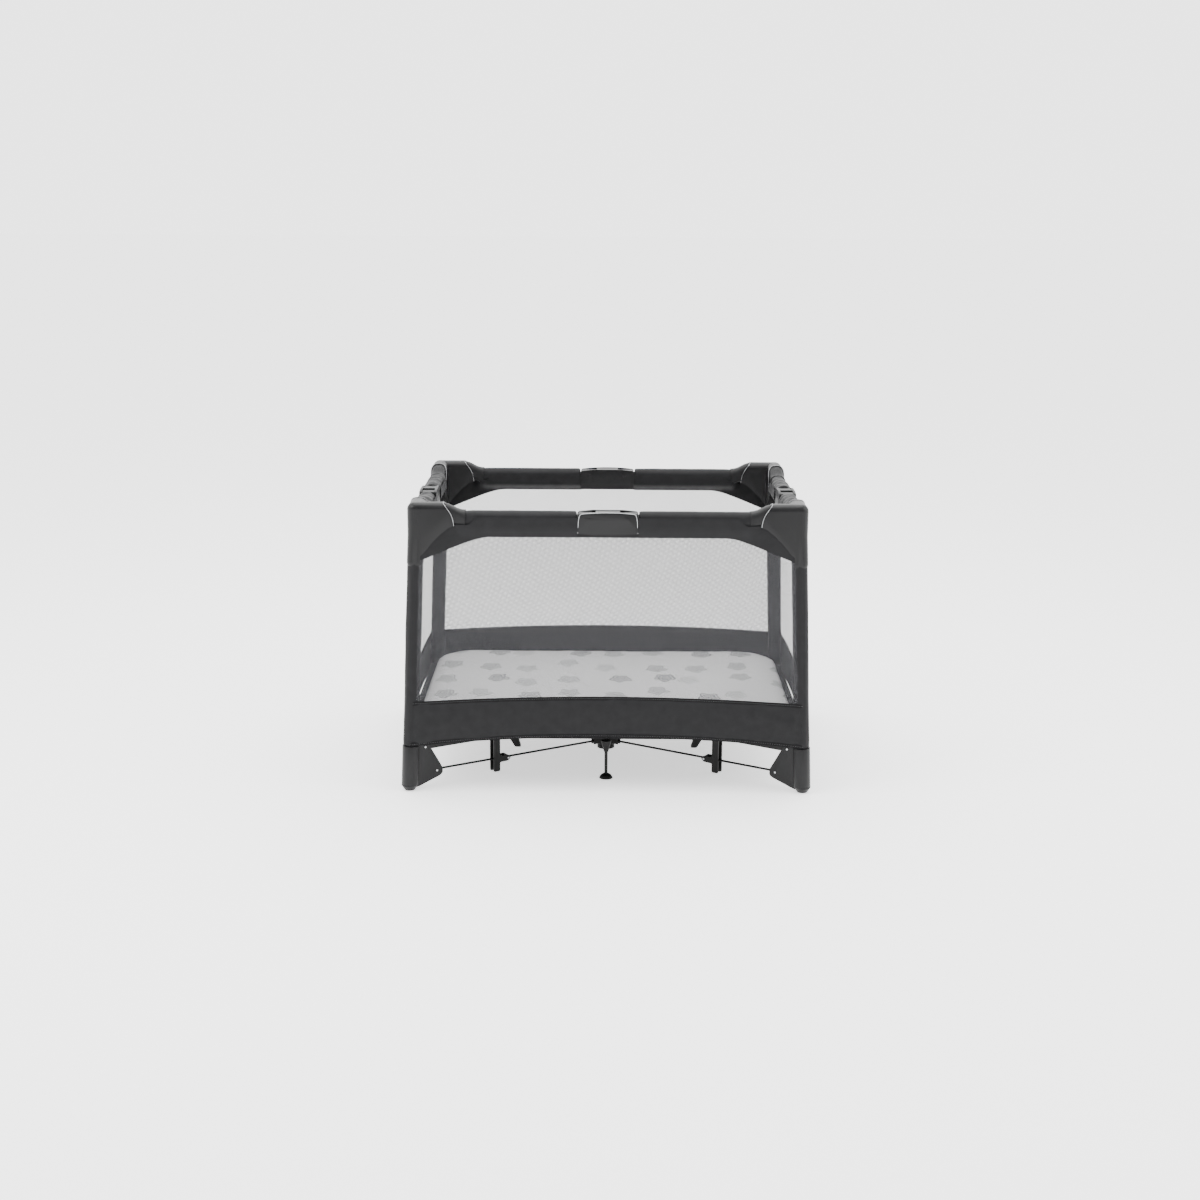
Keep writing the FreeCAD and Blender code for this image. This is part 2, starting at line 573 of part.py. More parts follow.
def bracket(pivot, run, rise, half, web):
    """Middle bracket of a top rail along X, centred on Y = 0."""
    mid = pivot - run
    mid_z = PIVOT_Z + rise
    top = HEIGHT - BRACKET_TOP_DOWN
    bottom = top - BRACKET_H
    w = BRACKET_W / 2
    inner = BLOCK_W / 2 + BLOCK_PLAY
    level = half * BRACKET_FLAT
    low, high = bottom + BRACKET_ARCH, top - BRACKET_ARCH
    cheek = rounded([(-half, low), (-level, bottom), (level, bottom), (half, low),
                     (half, high), (level, top), (-level, top), (-half, high)], BRACKET_R)
    body = plate_xz(cheek, -w, -inner).fuse(plate_xz(cheek, inner, w))
    body = body.fuse(box(-web, web, -inner, inner, bottom + WEB_ABOVE, top - WEB_BELOW))
    for x in (-mid, mid):
        body = body.fuse(rod_between(vec(x, -w - PIN_HEAD, mid_z), vec(x, w + PIN_HEAD, mid_z),
                                     PIN_D))
    return one(body)


def to_long_side(shape):
    """Put a shape drawn along X onto the back rail."""
    out = shape.copy()
    out.translate(vec(0, TOP_Y, 0))
    return out


def to_short_side(shape):
    """Put a shape drawn along X onto the right rail, its +X end at the back."""
    out = shape.copy()
    out.rotate(vec(0, 0, 0), vec(0, 0, 1), 90)
    out.translate(vec(TOP_X, 0, 0))
    return out


# ---- hub and braces ------------------------------------------------------------------
def fork(pivot_r, half, cheek, back, ahead, z0, z1, pin_z, pin_d, angle):
    """Two cheeks and a pin at a distance from the hub's middle, turned to an angle."""
    cheeks = box(pivot_r - back, pivot_r + ahead, -half - cheek, -half, z0, z1)
    cheeks = cheeks.fuse(box(pivot_r - back, pivot_r + ahead, half, half + cheek, z0, z1))
    out = cheeks.fuse(cross_pin(pivot_r, pin_z, pin_d, half + cheek + PIN_HEAD))
    out.rotate(vec(0, 0, 0), vec(0, 0, 1), math.degrees(angle))
    return out


def hub_top():
    """Round hub with a fork for every strut and every brace."""
    body = Part.makeCylinder(HUB_D / 2, HUB_TOP - HUB_BOTTOM, vec(0, 0, HUB_BOTTOM))
    rims = [e for e in body.Edges if e.Closed and e.BoundBox.ZMin > HUB_TOP - 1]
    body = body.makeFillet(HUB_RIM_R, rims)
    core = HUB_BOTTOM - HUB_CORE_BOTTOM
    body = body.fuse(Part.makeCylinder(HUB_CORE_D / 2, core, vec(0, 0, HUB_CORE_BOTTOM)))
    low, high = HUB_PIVOT_Z - FORK_DROP, HUB_BOTTOM + FORK_ROOT
    for angle in DIAGONALS:
        body = body.fuse(fork(HUB_PIVOT_R, STRUT_W / 2 + FORK_PLAY, CHEEK, *STRUT_FORK, low,
                              high, HUB_PIVOT_Z, PIN_D, angle))
    for quarter in range(4):
        body = body.fuse(fork(BRACE_PIVOT_R, BRACE_D / 2 + FORK_PLAY, BRACE_CHEEK, *BRACE_FORK,
                              low, high, HUB_PIVOT_Z, PIN_D, quarter * math.pi / 2))
    return one(body)


def hub_base():
    """Lower bracket of the hub with a fork for every rod; it stands on the floor."""
    z = HUB_PIVOT_Z - ROD_DOWN
    r = HUB_PIVOT_R - ROD_IN
    body = Part.makeCylinder(HUB_PAD_D / 2, HUB_PAD_T, vec(0, 0, 0))
    body = body.fuse(Part.makeCylinder(HUB_CORE_D / 2, HUB_CORE_BOTTOM - HUB_PAD_T,
                                       vec(0, 0, HUB_PAD_T)))
    half = ROD_D / 2 + FORK_PLAY
    for angle in DIAGONALS:
        slot = box(r - ROD_SLOT_BACK, r + ROD_SLOT_AHEAD, -half, half, -OVERCUT,
                   z + ROD_SLOT_ABOVE)
        slot.rotate(vec(0, 0, 0), vec(0, 0, 1), math.degrees(angle))
        cheeks = fork(r, half, ROD_CHEEK, r - ROD_FORK_FROM, ROD_FORK_AHEAD,
                      z - ROD_FORK_BELOW, z + ROD_FORK_ABOVE, z, ROD_PIN_D, angle)
        pin = cross_pin(r, z, ROD_PIN_D, half + ROD_CHEEK + PIN_HEAD)
        pin.rotate(vec(0, 0, 0), vec(0, 0, 1), math.degrees(angle))
        body = body.fuse(cheeks).cut(slot).fuse(pin)
    return one(body)


def brace_arm(reach):
    """Arm along X with a tongue at the hub end."""
    z = HUB_PIVOT_Z
    flat = BRACE_FLAT_H / 2
    body = rod_between(vec(BRACE_PIVOT_R + BRACE_FLAT / 2, 0, z), vec(reach, 0, z), BRACE_ARM_D)
    body = body.fuse(rod_between(vec(BRACE_PIVOT_R, -BRACE_D / 2, z),
                                 vec(BRACE_PIVOT_R, BRACE_D / 2, z), BRACE_EYE_D))
    body = body.fuse(box(BRACE_PIVOT_R, BRACE_PIVOT_R + BRACE_FLAT, -BRACE_D / 2, BRACE_D / 2,
                         z - flat, z + flat))
    return body.cut(rod_between(vec(BRACE_PIVOT_R, -BRACE_D, z), vec(BRACE_PIVOT_R, BRACE_D, z),
                                PIN_D + 2 * PIN_CLEAR))


def end_brace():
    """Front or back brace with its slim leg and dome foot."""
    x = END_LEG_Y
    low_d, high_d, cone_h = END_CONE
    cap = HUB_PIVOT_Z + BRACE_ARM_D / 2
    body = brace_arm(x)
    body = body.fuse(Part.makeCone(low_d / 2, high_d / 2, cone_h, vec(x, 0, cap - cone_h)))
    body = body.fuse(Part.makeCylinder(high_d / 2, END_CAP_H, vec(x, 0, cap)))
    body = body.fuse(rod_between(vec(x, 0, DOME_H - DOME_SINK), vec(x, 0, HUB_PIVOT_Z), END_LEG_D))
    ball = Part.makeSphere(DOME_D / 2, vec(x, 0, DOME_H - DOME_D / 2))
    dome = ball.common(Part.makeCylinder(DOME_D / 2, DOME_H, vec(x, 0, 0)))
    return one(body.fuse(dome))


def side_brace():
    """Left or right brace with its tapered leg, which leans outward going up."""
    x = SIDE_LEG_X
    top = x + SIDE_LEG_LEAN
    half = SIDE_LEG_T / 2
    body = brace_arm(top)
    head = [(top + SIDE_LEG_HEAD - inward, HUB_PIVOT_Z + up) for inward, up in SIDE_LEG_OUTER]
    side = rounded([(x - SIDE_LEG_FOOT, 0), (x + SIDE_LEG_FOOT, 0)] + head
                   + [(top - SIDE_LEG_HEAD, HUB_PIVOT_Z + SIDE_LEG_INNER_UP)], LEG_OUTLINE_R)
    return one(body.fuse(plate_xz(side, -half, half)))


# ---- build ---------------------------------------------------------------------------
def main():
    os.makedirs("parts", exist_ok=True)
    quarter = {"post": post(), "corner_housing": housing(), "foot": foot(), "strut": strut(),
               "rod": rod(), "mid_leg": mid_leg(), "wall": wall()}
    for corner, (sx, sy) in CORNERS.items():
        for name, shape in quarter.items():
            save("%s_%s" % (name, corner), mirrored(shape, sx, sy))

    long_rail = to_long_side(rail(PIVOT_X, RUN_X, RISE_X, WEB_X))
    long_pad = to_long_side(pad(PIVOT_X, BRACKET_X))
    short_rail = to_short_side(rail(PIVOT_Y, RUN_Y, RISE_Y, WEB_Y))
    short_pad = to_short_side(pad(PIVOT_Y, BRACKET_Y))
    for y_name, sy in (("front", -1), ("back", 1)):
        for x_name, sx in (("left", -1), ("right", 1)):
            save("rail_%s_%s" % (y_name, x_name), mirrored(long_rail, sx, sy))
            save("rail_pad_%s_%s" % (y_name, x_name), mirrored(long_pad, sx, sy))
            save("rail_%s_%s" % (x_name, y_name), mirrored(short_rail, sx, sy))
            save("rail_pad_%s_%s" % (x_name, y_name), mirrored(short_pad, sx, sy))

    long_bracket = to_long_side(bracket(PIVOT_X, RUN_X, RISE_X, BRACKET_X, WEB_X))
    short_bracket = to_short_side(bracket(PIVOT_Y, RUN_Y, RISE_Y, BRACKET_Y, WEB_Y))
    save("bracket_back", long_bracket)
    save("bracket_front", mirrored(long_bracket, 1, -1))
    save("bracket_right", short_bracket)
    save("bracket_left", mirrored(short_bracket, -1, 1))

    save("hub_top", hub_top())
    save("hub_base", hub_base())
    end, side = end_brace(), side_brace()
    for name, shape, angle in (("brace_back", end, 90), ("brace_front", end, 270),
                               ("brace_right", side, 0), ("brace_left", side, 180)):
        turned = shape.copy()
        turned.rotate(vec(0, 0, 0), vec(0, 0, 1), angle)
        save(name, turned)

    save("floor", slab(FLOOR_HALF_X, FLOOR_HALF_Y, FLOOR_CORNER_R, HUB_TOP, HUB_TOP + FLOOR_T))
    save("mattress", slab(MATTRESS_HALF_X, MATTRESS_HALF_Y, MATTRESS_CORNER_R,
                          HUB_TOP + FLOOR_T, HUB_TOP + FLOOR_T + MATTRESS_T))


main()
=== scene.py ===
"""Folding playpen: cover, mesh, padding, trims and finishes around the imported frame."""

import json
import math

import bmesh
import bpy
from bpy.props import FloatProperty, FloatVectorProperty, IntProperty, PointerProperty
from mathutils import Matrix, Vector, noise


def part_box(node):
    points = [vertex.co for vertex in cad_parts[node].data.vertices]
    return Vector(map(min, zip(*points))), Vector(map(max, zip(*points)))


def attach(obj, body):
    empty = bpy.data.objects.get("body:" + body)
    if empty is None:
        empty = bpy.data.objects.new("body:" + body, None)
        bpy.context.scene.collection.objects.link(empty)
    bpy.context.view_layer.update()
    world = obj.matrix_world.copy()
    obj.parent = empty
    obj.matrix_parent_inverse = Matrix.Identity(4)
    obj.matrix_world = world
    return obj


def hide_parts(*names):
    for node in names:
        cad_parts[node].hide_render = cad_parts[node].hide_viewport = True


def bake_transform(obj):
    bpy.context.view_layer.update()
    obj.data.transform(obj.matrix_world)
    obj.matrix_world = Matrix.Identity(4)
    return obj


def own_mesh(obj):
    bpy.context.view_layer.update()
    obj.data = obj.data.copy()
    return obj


bl_info = {
    "name": "Folding playpen",
    "version": (1, 0, 0),
    "blender": (4, 5, 0),
    "location": "3D View > Sidebar > Playpen",
    "description": "Builds the cover, padding and finishes of a folding playpen",
    "category": "Object",
}

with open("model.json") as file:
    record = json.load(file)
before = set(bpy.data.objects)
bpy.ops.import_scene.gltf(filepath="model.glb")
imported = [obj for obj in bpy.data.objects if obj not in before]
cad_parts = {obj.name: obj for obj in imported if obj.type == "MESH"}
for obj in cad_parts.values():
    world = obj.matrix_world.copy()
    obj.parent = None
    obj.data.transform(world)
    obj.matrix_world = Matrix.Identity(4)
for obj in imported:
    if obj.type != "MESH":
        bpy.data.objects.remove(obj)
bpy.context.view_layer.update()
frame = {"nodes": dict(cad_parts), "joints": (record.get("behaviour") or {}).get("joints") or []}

CORNERS = {"front_left": (-1, -1), "front_right": (1, -1),
           "back_left": (-1, 1), "back_right": (1, 1)}
WALLS = ("front", "back", "left", "right")

# places read from the frame, all for the corner with positive X and Y
POST_LO, POST_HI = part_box("post_back_right")
HOUSING_LO, HOUSING_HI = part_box("corner_housing_back_right")
FOOT_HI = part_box("foot_back_right")[1]
PAD_LO, PAD_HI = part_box("rail_pad_back_right")
SIDE_PAD_LO, SIDE_PAD_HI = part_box("rail_pad_right_back")
BRACKET_LO, BRACKET_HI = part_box("bracket_back")
SIDE_BRACKET_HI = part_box("bracket_right")[1]
MAT_LO, MAT_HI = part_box("mattress")
FLOOR_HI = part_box("floor")[1]
POST_R = 0.015
RAIL_Y = (PAD_LO[1] + PAD_HI[1]) / 2
RAIL_X = (SIDE_PAD_LO[0] + SIDE_PAD_HI[0]) / 2
RAIL_Z = (PAD_LO[2] + PAD_HI[2]) / 2
PAD_HALF = (PAD_HI[2] - PAD_LO[2]) / 2
TOP = HOUSING_HI[2]
JOINTS = {j["name"]: j for j in frame["joints"]}
UNEVEN_RANGE = (0.3, 0.7)  # the part of a broad noise that colour and gloss follow
NET_WAVE_RANGE = (-1.1, 0.4)
NET_ALPHA_RANGE = (0.52, 0.05)
STAGE_HALF = 60            # half the width of the stage floor
STAGE_GLOW = 1.1           # emission that carries the stage floor into the backdrop
BACKDROP_DEPTH_RANGE = (-0.9, 0.6)
BACKDROP_STRENGTH_RANGE = (0.7, 3.2)
MOTIF_PETALS = 5.0
MOTIF_RINGS = 62.0
FORK_FACE = 0.0124        # outer face of a fork's pin ends from the plane of its strut


# ---- sizes and colours ---------------------------------------------------------------
def length(name, text, value):
    return FloatProperty(name=name, description=text, default=value, unit="LENGTH")


def colour(name, text, value):
    return FloatVectorProperty(name=name, description=text, default=value, size=4,
                               subtype="COLOR", min=0.0, max=1.0)


class PlaypenSizes(bpy.types.PropertyGroup):
    skirt_top_corner: length("Skirt top, corner", "Height of the skirt's top edge at a post",
                             0.247)
    skirt_top_middle: length("Skirt top, middle", "Height of the skirt's top edge mid wall", 0.266)
    skirt_low_corner: length("Skirt bottom, corner", "Height of the skirt's hem at a post", 0.125)
    skirt_low_middle: length("Skirt bottom, middle", "Height of the skirt's hem mid wall", 0.155)
    window_top: length("Window top", "Height of the mesh window's top edge", 0.699)
    gusset_run: length("Gusset run", "How far from a post the window's top edge turns down",
                       0.19)
    wall_out: length("Wall outside post axis",
                     "Distance of the mesh outside the post axis", 0.0175)
    sleeve_radius: length("Sleeve radius", "Radius of the fabric sleeve on a post", 0.0212)
    sleeve_fold: length("Sleeve fold depth", "Depth of the soft folds in a post sleeve", 0.0012)
    skirt_fold: length("Skirt fold depth", "Depth of the creases in the skirt", 0.0034)
    pad_wrinkle: length("Pad wrinkle depth", "Depth of the gathers in the rail padding", 0.0022)
    cloth_thickness: length("Cloth thickness", "Thickness of the woven cover", 0.0011)
    net_cells: FloatProperty(name="Net holes per metre", description="Holes along a metre of net",
                             default=420.0, min=50.0)
    stitch_spacing: length("Stitch spacing", "Distance between stitches", 0.0062)
    edge_round: length("Edge round", "Rounding of the moulded edges", 0.0032)
    pin_radius: length("Pin head radius", "Radius of a bright pin head", 0.0034)
    sim_frames: IntProperty(name="Cloth frames", description="Frames of cloth simulation",
                            default=20, min=1, max=60)


class PlaypenColours(bpy.types.PropertyGroup):
    cover: colour("Cover", "Woven cover", (0.0095, 0.0095, 0.0103, 1.0))
    # short rails' cover, a little lighter than the main cover: partly the cloth's own tone, partly
    # painted sheen on the crumpled cloth
    side_cover_and_painted_sheen: colour("Side rail cover", "Crumpled cover of the short rails",
                       (0.011, 0.011, 0.0115, 1.0))
    plastic: colour("Plastic", "Moulded grey parts", (0.0045, 0.0045, 0.005, 1.0))
    black: colour("Black", "Rods, struts and legs", (0.004, 0.004, 0.004, 1.0))
    trim: colour("Trim", "Bright trim", (0.50, 0.51, 0.52, 1.0))
    mesh: colour("Mesh", "See-through mesh", (0.07, 0.07, 0.075, 1.0))
    sheet: colour("Sheet", "Mattress sheet", (0.66, 0.66, 0.66, 1.0))
    motif: colour("Motif", "Pattern on the mattress sheet", (0.20, 0.20, 0.21, 1.0))


def sizes():
    return bpy.context.scene.playpen_sizes


def colours():
    return bpy.context.scene.playpen_colours


# ---- materials -----------------------------------------------------------------------
def group_socket(tree, name, kind, default=None, out=False):
    socket = tree.interface.new_socket(name=name, in_out="OUTPUT" if out else "INPUT",
                                       socket_type=kind)
    if default is not None:
        socket.default_value = default
    return socket


def add_node(tree, kind, values=None, **settings):
    """A new node, with its settings made before its input values."""
    node = tree.nodes.new(kind)
    for key, value in settings.items():
        setattr(node, key, value)
    for key, value in (values or {}).items():
        node.inputs[key].default_value = value
    return node


def feed(tree, node, **sources):
    """Link outputs to the inputs they are named after; _ stands for a space."""
    for key, source in sources.items():
        tree.links.new(source, node.inputs[key.replace("_", " ")])
    return node


def maths(tree, operation, *values):
    """A Math node's output.  Each value is a number or the output that feeds it."""
    node = add_node(tree, "ShaderNodeMath", operation=operation)
    for socket, value in zip(node.inputs, values):
        if isinstance(value, bpy.types.NodeSocket):
            tree.links.new(value, socket)
        else:
            socket.default_value = value
    return node.outputs[0]


def ranged(tree, value, source, target, smooth=False):
    """The value carried from one range to another."""
    node = add_node(tree, "ShaderNodeMapRange",
                    {"From Min": source[0], "From Max": source[1],
                     "To Min": target[0], "To Max": target[1]},
                    interpolation_type="SMOOTHSTEP" if smooth else "LINEAR")
    return feed(tree, node, Value=value).outputs["Result"]


def object_place(tree):
    return add_node(tree, "ShaderNodeTexCoord").outputs["Object"]


def surface_group(name, count_name, count, depth, mask_name, distance, uneven, height):
    """A shader group: fine bump at a count per metre, and a broad uneven mask."""
    tree = bpy.data.node_groups.get(name)
    if tree:
        return tree
    tree = bpy.data.node_groups.new(name, "ShaderNodeTree")
    group_socket(tree, count_name, "NodeSocketFloat", count)
    group_socket(tree, "Depth", "NodeSocketFloat", depth)
    group_socket(tree, "Normal", "NodeSocketVector", out=True)
    group_socket(tree, mask_name, "NodeSocketFloat", out=True)
    start, end = add_node(tree, "NodeGroupInput"), add_node(tree, "NodeGroupOutput")
    place = object_place(tree)
    broad = add_node(tree, "ShaderNodeTexNoise", {"Scale": uneven[0], "Detail": uneven[1]})
    mask = feed(tree, broad, Vector=place).outputs["Fac"]
    bump = add_node(tree, "ShaderNodeBump", {"Distance": distance})
    feed(tree, bump, Strength=start.outputs["Depth"],
         Height=height(tree, place, start.outputs[count_name], mask))
    tree.links.new(bump.outputs["Normal"], end.inputs["Normal"])
    tree.links.new(mask, end.inputs[mask_name])
    return tree


def weave_group():
    """Bump of a plain weave with soft unevenness."""
    def height(tree, place, count, mask):
        threads = add_node(tree, "ShaderNodeTexVoronoi", feature="F1")
        feed(tree, threads, Vector=place, Scale=count)
        return maths(tree, "MULTIPLY_ADD", threads.outputs["Distance"], 0.35, mask)
    return surface_group("Woven surface", "Threads per metre", 900.0, 0.25, "Shade", 0.002,
                         (42.0, 4.0), height)


def grain_group():
    """Fine moulded or coated grain, and a broad unevenness for gloss and wear."""
    def height(tree, place, count, mask):
        grain = add_node(tree, "ShaderNodeTexNoise", {"Detail": 2.0})
        return feed(tree, grain, Vector=place, Scale=count).outputs["Fac"]
    return surface_group("Fine grain", "Grains per metre", 700.0, 0.12, "Wear", 0.0006,
                         (14.0, 5.0), height)


def new_material(name, base, rough, metallic=0.0):
    found = bpy.data.materials.get(name)
    if found:
        return found, None
    mat = bpy.data.materials.new(name)
    mat.use_nodes = True
    shader = mat.node_tree.nodes["Principled BSDF"]
    shader.inputs["Base Color"].default_value = base
    shader.inputs["Roughness"].default_value = rough
    shader.inputs["Metallic"].default_value = metallic
    return mat, shader


def add_surface(tree, shader, group, count_name, count, depth):
    """Place a surface group in a material and link its normal."""
    surface = add_node(tree, "ShaderNodeGroup", {}, node_tree=group)
    surface.inputs[count_name].default_value = count
    surface.inputs["Depth"].default_value = depth
    tree.links.new(surface.outputs["Normal"], shader.inputs["Normal"])
    return surface


def uneven_colour(tree, shader, base, spread, amount):
    ramp = add_node(tree, "ShaderNodeValToRGB")
    for element, position, sign in zip(ramp.color_ramp.elements, UNEVEN_RANGE, (-1, 1)):
        element.position = position
        element.color = [min(1.0, c * (1 + sign * spread)) for c in base[:3]] + [1.0]
    feed(tree, ramp, Fac=amount)
    tree.links.new(ramp.outputs["Color"], shader.inputs["Base Color"])


def add_weave(tree, shader, base, depth, threads, spread):
    """Weave bump, and a slight unevenness of the base colour."""
    weave = add_surface(tree, shader, weave_group(), "Threads per metre", threads, depth)
    uneven_colour(tree, shader, base, spread, weave.outputs["Shade"])


def add_grain(tree, shader, base, rough, grains, depth, spread):
    """Grain bump, with gloss and colour a little uneven over the piece."""
    grain = add_surface(tree, shader, grain_group(), "Grains per metre", grains, depth)
    gloss = ranged(tree, grain.outputs["Wear"], UNEVEN_RANGE,
                   (rough * (1 - spread), rough * (1 + spread)))
    tree.links.new(gloss, shader.inputs["Roughness"])
    uneven_colour(tree, shader, base, spread, grain.outputs["Wear"])


def finish(name, base, rough, metallic=0.0, specular=0.5, weave=None, grain=None):
    """A finished material; weave is (depth, threads, spread), grain (grains, depth, spread)."""
    mat, shader = new_material(name, (*base[:3], 1.0), rough, metallic)
    if shader:
        shader.inputs["Specular IOR Level"].default_value = specular
        if weave:
            add_weave(mat.node_tree, shader, base, *weave)
        if grain:
            add_grain(mat.node_tree, shader, base, rough, *grain)
    return mat


def cover_cloth():
    mat = finish("Cover cloth", colours().cover, 0.6, specular=0.16, weave=(0.25, 900.0, 0.14))
    shader = mat.node_tree.nodes["Principled BSDF"]
    shader.inputs["Sheen Weight"].default_value = 0.02
    shader.inputs["Sheen Roughness"].default_value = 0.4
    return mat


# The main woven cover made a little lighter and glossier: partly its own tone, partly painted
# sheen on the crumpled cloth.
def side_cloth_and_painted_sheen():
    return finish("Side rail cloth with painted sheen", colours().side_cover_and_painted_sheen, 0.5, specular=0.2,
                  weave=(0.35, 900.0, 0.35))


def binding_tape():
    return finish("Binding tape", (0.006, 0.006, 0.0065), 0.7, specular=0.12,
                  weave=(0.4, 1100.0, 0.2))


def thread():
    return finish("Thread", (0.045, 0.045, 0.047), 0.6, grain=(2600.0, 0.5, 0.15))


def moulded_plastic():
    return finish("Moulded plastic", colours().plastic, 0.4, specular=0.26,
                  grain=(700.0, 0.14, 0.12))


def black_finish():
    return finish("Black coat", colours().black, 0.45, specular=0.22, grain=(1100.0, 0.1, 0.16))


def collar_finish():
    return finish("Collar", (0.007, 0.007, 0.0075), 0.5, specular=0.22,
                  weave=(0.3, 1000.0, 0.15))


def bright_trim():
    return finish("Bright trim", colours().trim, 0.28, 1.0, grain=(1500.0, 0.08, 0.2))


def arch_metal():
    return finish("Polished arch", (0.20, 0.20, 0.205), 0.16, 1.0, grain=(900.0, 0.06, 0.2))


def net_mesh():
    """See-through net: dark threads round six-sided holes."""
    mat, shader = new_material("Net", list(colours().mesh), 0.7)
    if shader:
        shader.inputs["Specular IOR Level"].default_value = 0.2
        tree = mat.node_tree
        parts = feed(tree, add_node(tree, "ShaderNodeSeparateXYZ"), Vector=object_place(tree))
        flat = feed(tree, add_node(tree, "ShaderNodeCombineXYZ"),
                    X=maths(tree, "ADD", parts.outputs["X"], parts.outputs["Y"]),
                    Y=parts.outputs["Z"])
        pitch = 4 * math.pi / math.sqrt(3) * sizes().net_cells
        total = None
        for turn in (0.0, 120.0, 240.0):
            a = math.radians(turn)
            row = add_node(tree, "ShaderNodeVectorMath",
                           {1: (math.cos(a) * pitch, math.sin(a) * pitch, 0.0)},
                           operation="DOT_PRODUCT")
            tree.links.new(flat.outputs["Vector"], row.inputs[0])
            wave = maths(tree, "COSINE", row.outputs["Value"])
            total = wave if total is None else maths(tree, "ADD", total, wave)
        cover = ranged(tree, total, NET_WAVE_RANGE, NET_ALPHA_RANGE)
        tree.links.new(cover, shader.inputs["Alpha"])
    return mat


def sheet_cloth():
    """Off-white cotton with scattered soft grey motifs."""
    base, grey = list(colours().sheet), list(colours().motif)
    mat, shader = new_material("Mattress sheet", base, 0.85)
    if shader:
        tree = mat.node_tree
        links = tree.links
        flat = add_node(tree, "ShaderNodeMapping", {"Scale": (1.0, 0.8, 0.0)})
        place = feed(tree, flat, Vector=object_place(tree)).outputs["Vector"]
        spots = add_node(tree, "ShaderNodeTexVoronoi", {"Scale": 8.2, "Randomness": 0.5},
                         voronoi_dimensions="2D")
        ripple = add_node(tree, "ShaderNodeTexNoise", {"Scale": 34.0, "Detail": 2.0})
        feed(tree, ripple, Vector=place)
        shift = add_node(tree, "ShaderNodeVectorMath", {1: (0.022, 0.022, 0.0)},
                         operation="MULTIPLY_ADD")
        links.new(ripple.outputs["Color"], shift.inputs[0])
        links.new(place, shift.inputs[2])
        feed(tree, spots, Vector=shift.outputs["Vector"])
        local = add_node(tree, "ShaderNodeVectorMath", operation="SUBTRACT")
        links.new(shift.outputs["Vector"], local.inputs[0])
        links.new(spots.outputs["Position"], local.inputs[1])
        side = feed(tree, add_node(tree, "ShaderNodeSeparateXYZ"), Vector=local.outputs["Vector"])
        angle = maths(tree, "ARCTAN2", side.outputs["Y"], side.outputs["X"])
        lobes = maths(tree, "SINE", maths(tree, "MULTIPLY", angle, MOTIF_PETALS))
        reach = maths(tree, "MULTIPLY_ADD", lobes, 0.035, spots.outputs["Distance"])
        shape = ranged(tree, reach, (0.23, 0.26), (1.0, 0.0), smooth=True)
        lines = maths(tree, "SINE", maths(tree, "MULTIPLY", reach, MOTIF_RINGS))
        patchy = ranged(tree, lines, (-0.6, 0.6), (0.35, 1.0))
        print_strength = add_node(tree, "ShaderNodeSeparateColor")
        feed(tree, print_strength, Color=spots.outputs["Color"])
        worn = ranged(tree, print_strength.outputs[0], (0.0, 1.0), (0.35, 1.0))
        amount = maths(tree, "MULTIPLY", shape, maths(tree, "MULTIPLY", worn, patchy))
        tint = add_node(tree, "ShaderNodeMix", {"A": base, "B": grey}, data_type="RGBA")
        feed(tree, tint, Factor=amount)
        links.new(tint.outputs["Result"], shader.inputs["Base Color"])
        add_surface(tree, shader, weave_group(), "Threads per metre", 1200.0, 0.12)
    return mat


# ---- mesh helpers --------------------------------------------------------------------
def make_object(name, verts, faces, material, smooth=True):
    mesh = bpy.data.meshes.new(name)
    mesh.from_pydata([tuple(v) for v in verts], [], faces)
    mesh.update()
    obj = bpy.data.objects.new(name, mesh)
    bpy.context.scene.collection.objects.link(obj)
    mesh.materials.append(material)
    if smooth:
        mesh.polygons.foreach_set("use_smooth", [True] * len(mesh.polygons))
    return obj


def turn_outward(obj):
    """Merge doubles and point every face of a closed mesh outwards."""
    work = bmesh.new()
    work.from_mesh(obj.data)
    bmesh.ops.remove_doubles(work, verts=work.verts, dist=1e-5)
    bmesh.ops.recalc_face_normals(work, faces=work.faces)
    work.to_mesh(obj.data)
    work.free()
    return obj


def apply_modifiers(obj):
    """Bake the object's modifiers into its mesh."""
    bpy.context.view_layer.update()
    depsgraph = bpy.context.evaluated_depsgraph_get()
    mesh = bpy.data.meshes.new_from_object(obj.evaluated_get(depsgraph))
    obj.modifiers.clear()
    old = obj.data
    obj.data = mesh
    mesh.name = old.name
    bpy.data.meshes.remove(old)
    return obj


def tube_faces(rings, around, closed_ends=True):
    """Faces of a tube whose rings of points follow each other."""
    faces = []
    for i in range(rings - 1):
        for k in range(around):
            a, b = i * around + k, i * around + (k + 1) % around
            faces.append((a, b, b + around, a + around))
    if closed_ends:
        faces.append(tuple(range(around))[::-1])
        faces.append(tuple((rings - 1) * around + k for k in range(around)))
    return faces


def grid_faces(cols, rows):
    return [(i * (rows + 1) + j, (i + 1) * (rows + 1) + j,
             (i + 1) * (rows + 1) + j + 1, i * (rows + 1) + j + 1)
            for i in range(cols) for j in range(rows)]


def ramp01(x, lo, hi):
    """0 below lo, 1 above hi and smooth between."""
    t = min(1.0, max(0.0, (x - lo) / (hi - lo)))
    return t * t * (3 - 2 * t)


def post_axis(z):
    """X and Y of the leaning post's axis at height z, for the corner with positive X and Y."""
    t = (z - POST_LO[2]) / (POST_HI[2] - POST_LO[2])
    return (POST_HI[0] - POST_R + (POST_LO[0] - POST_HI[0] + 2 * POST_R) * t,
            POST_HI[1] - POST_R + (POST_LO[1] - POST_HI[1] + 2 * POST_R) * t)


def on_wall(wall, along, out, z):
    """A point on a wall: along it, outside the post axis, and height."""
    x, y = post_axis(z)
    if wall == "front":
        return Vector((along, -(y + out), z))
    if wall == "back":
        return Vector((along, y + out, z))
    if wall == "left":
        return Vector((-(x + out), along, z))
    return Vector((x + out, along, z))


